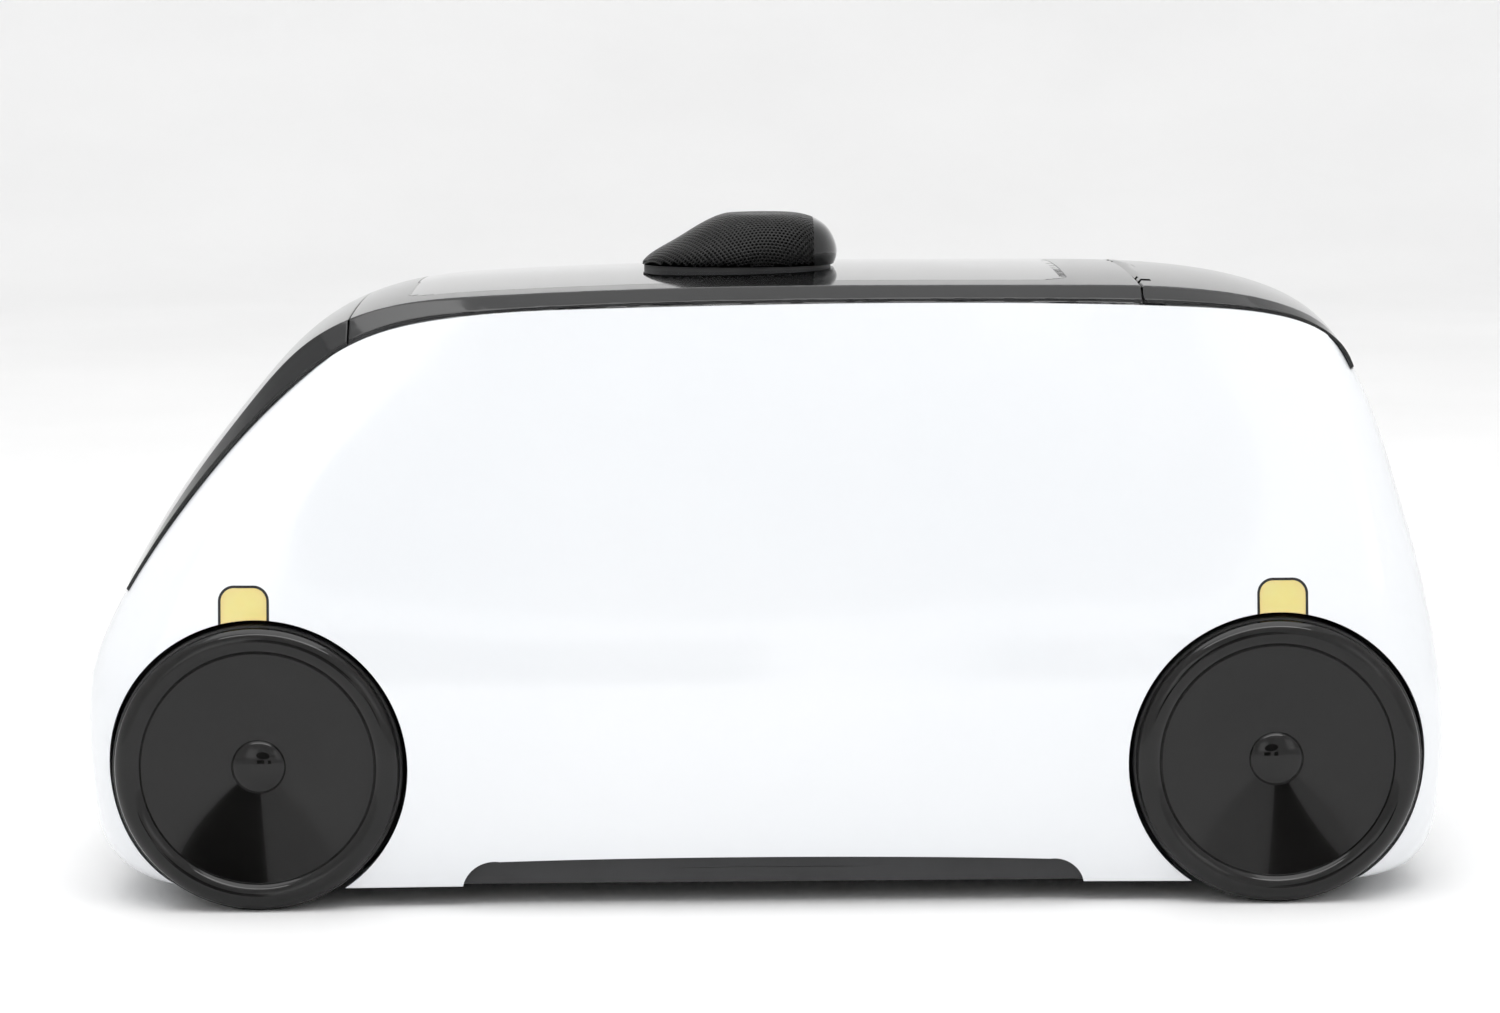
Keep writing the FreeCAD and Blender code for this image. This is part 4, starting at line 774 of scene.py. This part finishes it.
def pod_skin(inset=0.0, turns=160, levels=61):
    """Rings of points up the pod's surface."""
    angles = np.arange(turns) * 2 * math.pi / turns
    sections = []
    for height, nose, tail, half_width in POD_RINGS:
        middle, half_length = (nose + tail) / 2, (nose - tail) / 2 - inset
        across = np.sign(np.sin(angles)) * np.abs(np.sin(angles)) ** 0.8
        ahead = np.sign(np.cos(angles)) * np.abs(np.cos(angles)) ** 0.8
        narrow = 1 - 0.16 * np.maximum(0.0, ahead)
        sections.append(np.column_stack([middle + half_length * ahead, (half_width - inset) * across * narrow,
                                         np.full(turns, height - (inset if height > 191 else 0.0))]))
    stack = np.array(sections)
    gaps = np.linalg.norm(np.diff(stack, axis=0), axis=2).mean(axis=1)
    knots = np.concatenate([[0.0], np.cumsum(gaps)])
    return spline_over(knots, stack)(np.linspace(0, len(POD_RINGS) - 1, levels))


def pod_block(name, inset):
    rings = pod_skin(inset)
    rows, columns = rings.shape[:2]
    points = np.concatenate([rings.reshape(-1, 3), [rings[0].mean(axis=0)], [rings[-1].mean(axis=0)]])
    faces = grid_faces(rows, columns, closed=True)
    for c in range(columns):
        d = (c + 1) % columns
        faces.append((c, d, rows * columns))
        faces.append(((rows - 1) * columns + c, (rows - 1) * columns + d, rows * columns + 1))
    return outward(mesh_object(name, points, faces))


# A black block with no gloss inside the mesh: painted shade that stands in for the dark inside of the pod seen
# through the holes.
pod_core = pod_block("pod_shade_core", 0.9)
pod_outer = pod_block("pod_outer_form", 0.0)
pod_tree = guide(pod_outer)[0]
PITCH = 1.25
ROW = PITCH * math.sqrt(3) / 2
MESH_TAIL, MESH_NOSE = -17.5, 38.0
sections = {}


def pod_section(x):
    """The pod's cross-section at x: distance over the skin from the crest, and the point there."""
    key = round(x, 3)
    if key not in sections:
        low = Vector((x * MM, 0, 190.95 * MM))
        hits = []
        for turn in np.linspace(0.0, math.pi / 2, 40):
            hit, normal, _, _ = pod_tree.ray_cast(low, Vector((0, math.cos(turn), math.sin(turn))))
            if hit is not None:
                hits.append((hit / MM, normal))
        hits = hits[::-1]
        if len(hits) < 3:
            sections[key] = None
        else:
            points = np.array([h[0] for h in hits])
            arc = np.concatenate([[0.0], np.cumsum(np.linalg.norm(np.diff(points, axis=0), axis=1))])
            sections[key] = (arc, points)
    return sections[key]


def on_pod(x, s):
    found = pod_section(x)
    if found is None or abs(s) > found[0][-1]:
        return None
    arc, points = found
    place = [float(np.interp(abs(s), arc, points[:, k])) for k in range(3)]
    if s < 0:
        place[1] = -place[1]
    return place


def perforated(name, hole=0.40, sides=6):
    """A punched skin: staggered cells, each a hexagon with a round hole in it."""
    points, faces, known = [], [], {}

    def vertex(x, s):
        key = (round(x, 3), round(s, 3))
        if key not in known:
            place = on_pod(round(x, 3), s)
            known[key] = None
            if place is not None:
                known[key] = len(points)
                points.append(place)
        return known[key]
    rows = int(34 / ROW)
    columns = int((MESH_NOSE - MESH_TAIL) / PITCH)
    for row in range(-rows, rows + 1):
        for column in range(columns + 1):
            x = MESH_TAIL + (column + 0.5 * (row % 2)) * PITCH
            s = row * ROW
            outer_ring, inner_ring = [], []
            for k in range(sides):
                turn = math.radians(30 + 60 * k)
                radius = PITCH / math.sqrt(3)
                outer_ring.append(vertex(x + radius * math.cos(turn), s + radius * math.sin(turn)))
                inner_ring.append(vertex(x + hole * math.cos(turn), s + hole * math.sin(turn)))
            if None in outer_ring or None in inner_ring:
                continue
            for k in range(sides):
                j = (k + 1) % sides
                faces.append((outer_ring[k], outer_ring[j], inner_ring[j], inner_ring[k]))
    thing = mesh_object(name, points, faces)
    bm = bmesh.new()
    bm.from_mesh(thing.data)
    bmesh.ops.remove_doubles(bm, verts=bm.verts, dist=0.00005)
    bmesh.ops.recalc_face_normals(bm, faces=bm.faces)
    bm.to_mesh(thing.data)
    bm.free()
    return thing


pod_mesh = perforated("pod_mesh_skin")
solid = pod_mesh.modifiers.new("thickness", "SOLIDIFY")
solid.thickness = 0.4 * MM
solid.offset = -1.0
rear_half = prism("pod_rear_room", [(-40, 180), (-16.5, 180), (-16.5, 215), (-40, 215)], -40, 40)
pod_rear = boolean("pod_rear_cap", pod_outer, rear_half, "INTERSECT")
smoothed(pod_rear, [guide(pod_outer)], 0.0003, 0.8)
drop(rear_half, pod_outer)
finish(pod_mesh, "chassis", "mesh_black", ["pod_cover"])
finish(pod_core, "chassis", "mesh_black", ["pod_cover"], "shade_black")
finish(pod_rear, "chassis", "mesh_black", ["pod_cover"], "black_gloss")

# ------------------------------------------------------------ floor, light and camera
def studio_floor():
    """A flat sheet that curves up into a backdrop far from the object, the same all round."""
    radii = list(np.linspace(0.0, 2.6, 14)) + [2.6 + 1.4 * math.sin(a) for a in np.linspace(0.1, math.pi / 2, 12)]
    heights = [0.0] * 14 + [1.4 * (1 - math.cos(a)) for a in np.linspace(0.1, math.pi / 2, 12)]
    radii.append(4.0)
    heights.append(5.0)
    points, steps = [], 96
    for radius, height in zip(radii, heights):
        for step in range(steps):
            turn = 2 * math.pi * step / steps
            points.append((radius / MM * math.cos(turn), radius / MM * math.sin(turn), height / MM))
    faces = grid_faces(len(radii), steps, closed=True)
    return mesh_object("studio_floor", points, faces)


floor = studio_floor()
paper = Paint("studio_paper", Roughness=0.75, Specular_IOR_Level=0.25)
paper.colours(paper.noise(3.0, 5.0), [(0.35, (0.86, 0.86, 0.86)), (0.65, (0.885, 0.885, 0.885))])
paper.bump(paper.noise(900.0, 2.0), 0.12, 0.0003)
floor.data.materials.append(paper.material)

world = bpy.data.worlds.new("studio")
bpy.context.scene.world = world
world.use_nodes = True
world.node_tree.nodes["Background"].inputs["Color"].default_value = (1.0, 1.0, 1.0, 1.0)
world.node_tree.nodes["Background"].inputs["Strength"].default_value = 1.25


def softbox(name, place, aim, size, power):
    data = bpy.data.lights.new(name, "AREA")
    data.shape = "RECTANGLE"
    data.size, data.size_y = size
    data.energy = power
    light = bpy.data.objects.new(name, data)
    light.location = place
    light.rotation_euler = (Vector(aim) - Vector(place)).to_track_quat("-Z", "Y").to_euler()
    bpy.context.scene.collection.objects.link(light)


softbox("key_overhead", (0.1, 0.3, 1.9), (0.0, 0.0, 0.05), (2.0, 1.2), 14.0)
softbox("strip_overhead", (0.0, 1.0, 1.7), (0.0, 0.0, 0.05), (1.8, 0.16), 5.0)
softbox("fill_front", (0.9, 2.2, 0.9), (0.0, 0.0, 0.1), (1.0, 1.0), 2.5)
softbox("fill_side", (-1.5, 1.6, 0.9), (0.0, 0.0, 0.1), (0.8, 1.0), 2.0)


def reflected_card(name, outline, depth, paint):
    """A dark shape behind the camera that shows only in the gloss."""
    card = prism(name, outline, depth, depth + 5)
    card.data.materials.append(MATERIALS[paint])
    card.visible_camera = False
    card.visible_shadow = False
    card.visible_diffuse = False


reflected_card("low_card_front", [(-20, 4), (330, 4), (330, 175), (-20, 175)], 1450, "shade_black")
reflected_card("low_card_rear", [(-370, 4), (-190, 4), (-190, 175), (-370, 175)], 1450, "shade_black")
card_turns = np.linspace(0, 2 * math.pi, 49)[:-1]
reflected_card("body_card", [(400 * math.cos(t), 480 + 240 * math.sin(t)) for t in card_turns],
               1600, "seal_rubber")

camera_data = bpy.data.cameras.new("camera")
camera_data.lens = 96.0
camera_data.sensor_width = 36.0
camera = bpy.data.objects.new("camera", camera_data)
bpy.context.scene.collection.objects.link(camera)
pitch, yaw, roll = math.radians(7.0), math.radians(-0.6), math.radians(-0.36)
ahead = Vector((math.sin(yaw) * math.cos(pitch), -math.cos(yaw) * math.cos(pitch), -math.sin(pitch)))
level = ahead.cross(Vector((0, 0, 1))).normalized()
above = level.cross(ahead)
across = level * math.cos(roll) + above * math.sin(roll)
above = above * math.cos(roll) - level * math.sin(roll)
camera.matrix_world = Matrix([(across[i], above[i], -ahead[i], CAMERA_PLACE[i]) for i in range(3)]
                             + [(0, 0, 0, 1)])
bpy.context.scene.camera = camera
bpy.context.scene.view_settings.view_transform = "Standard"
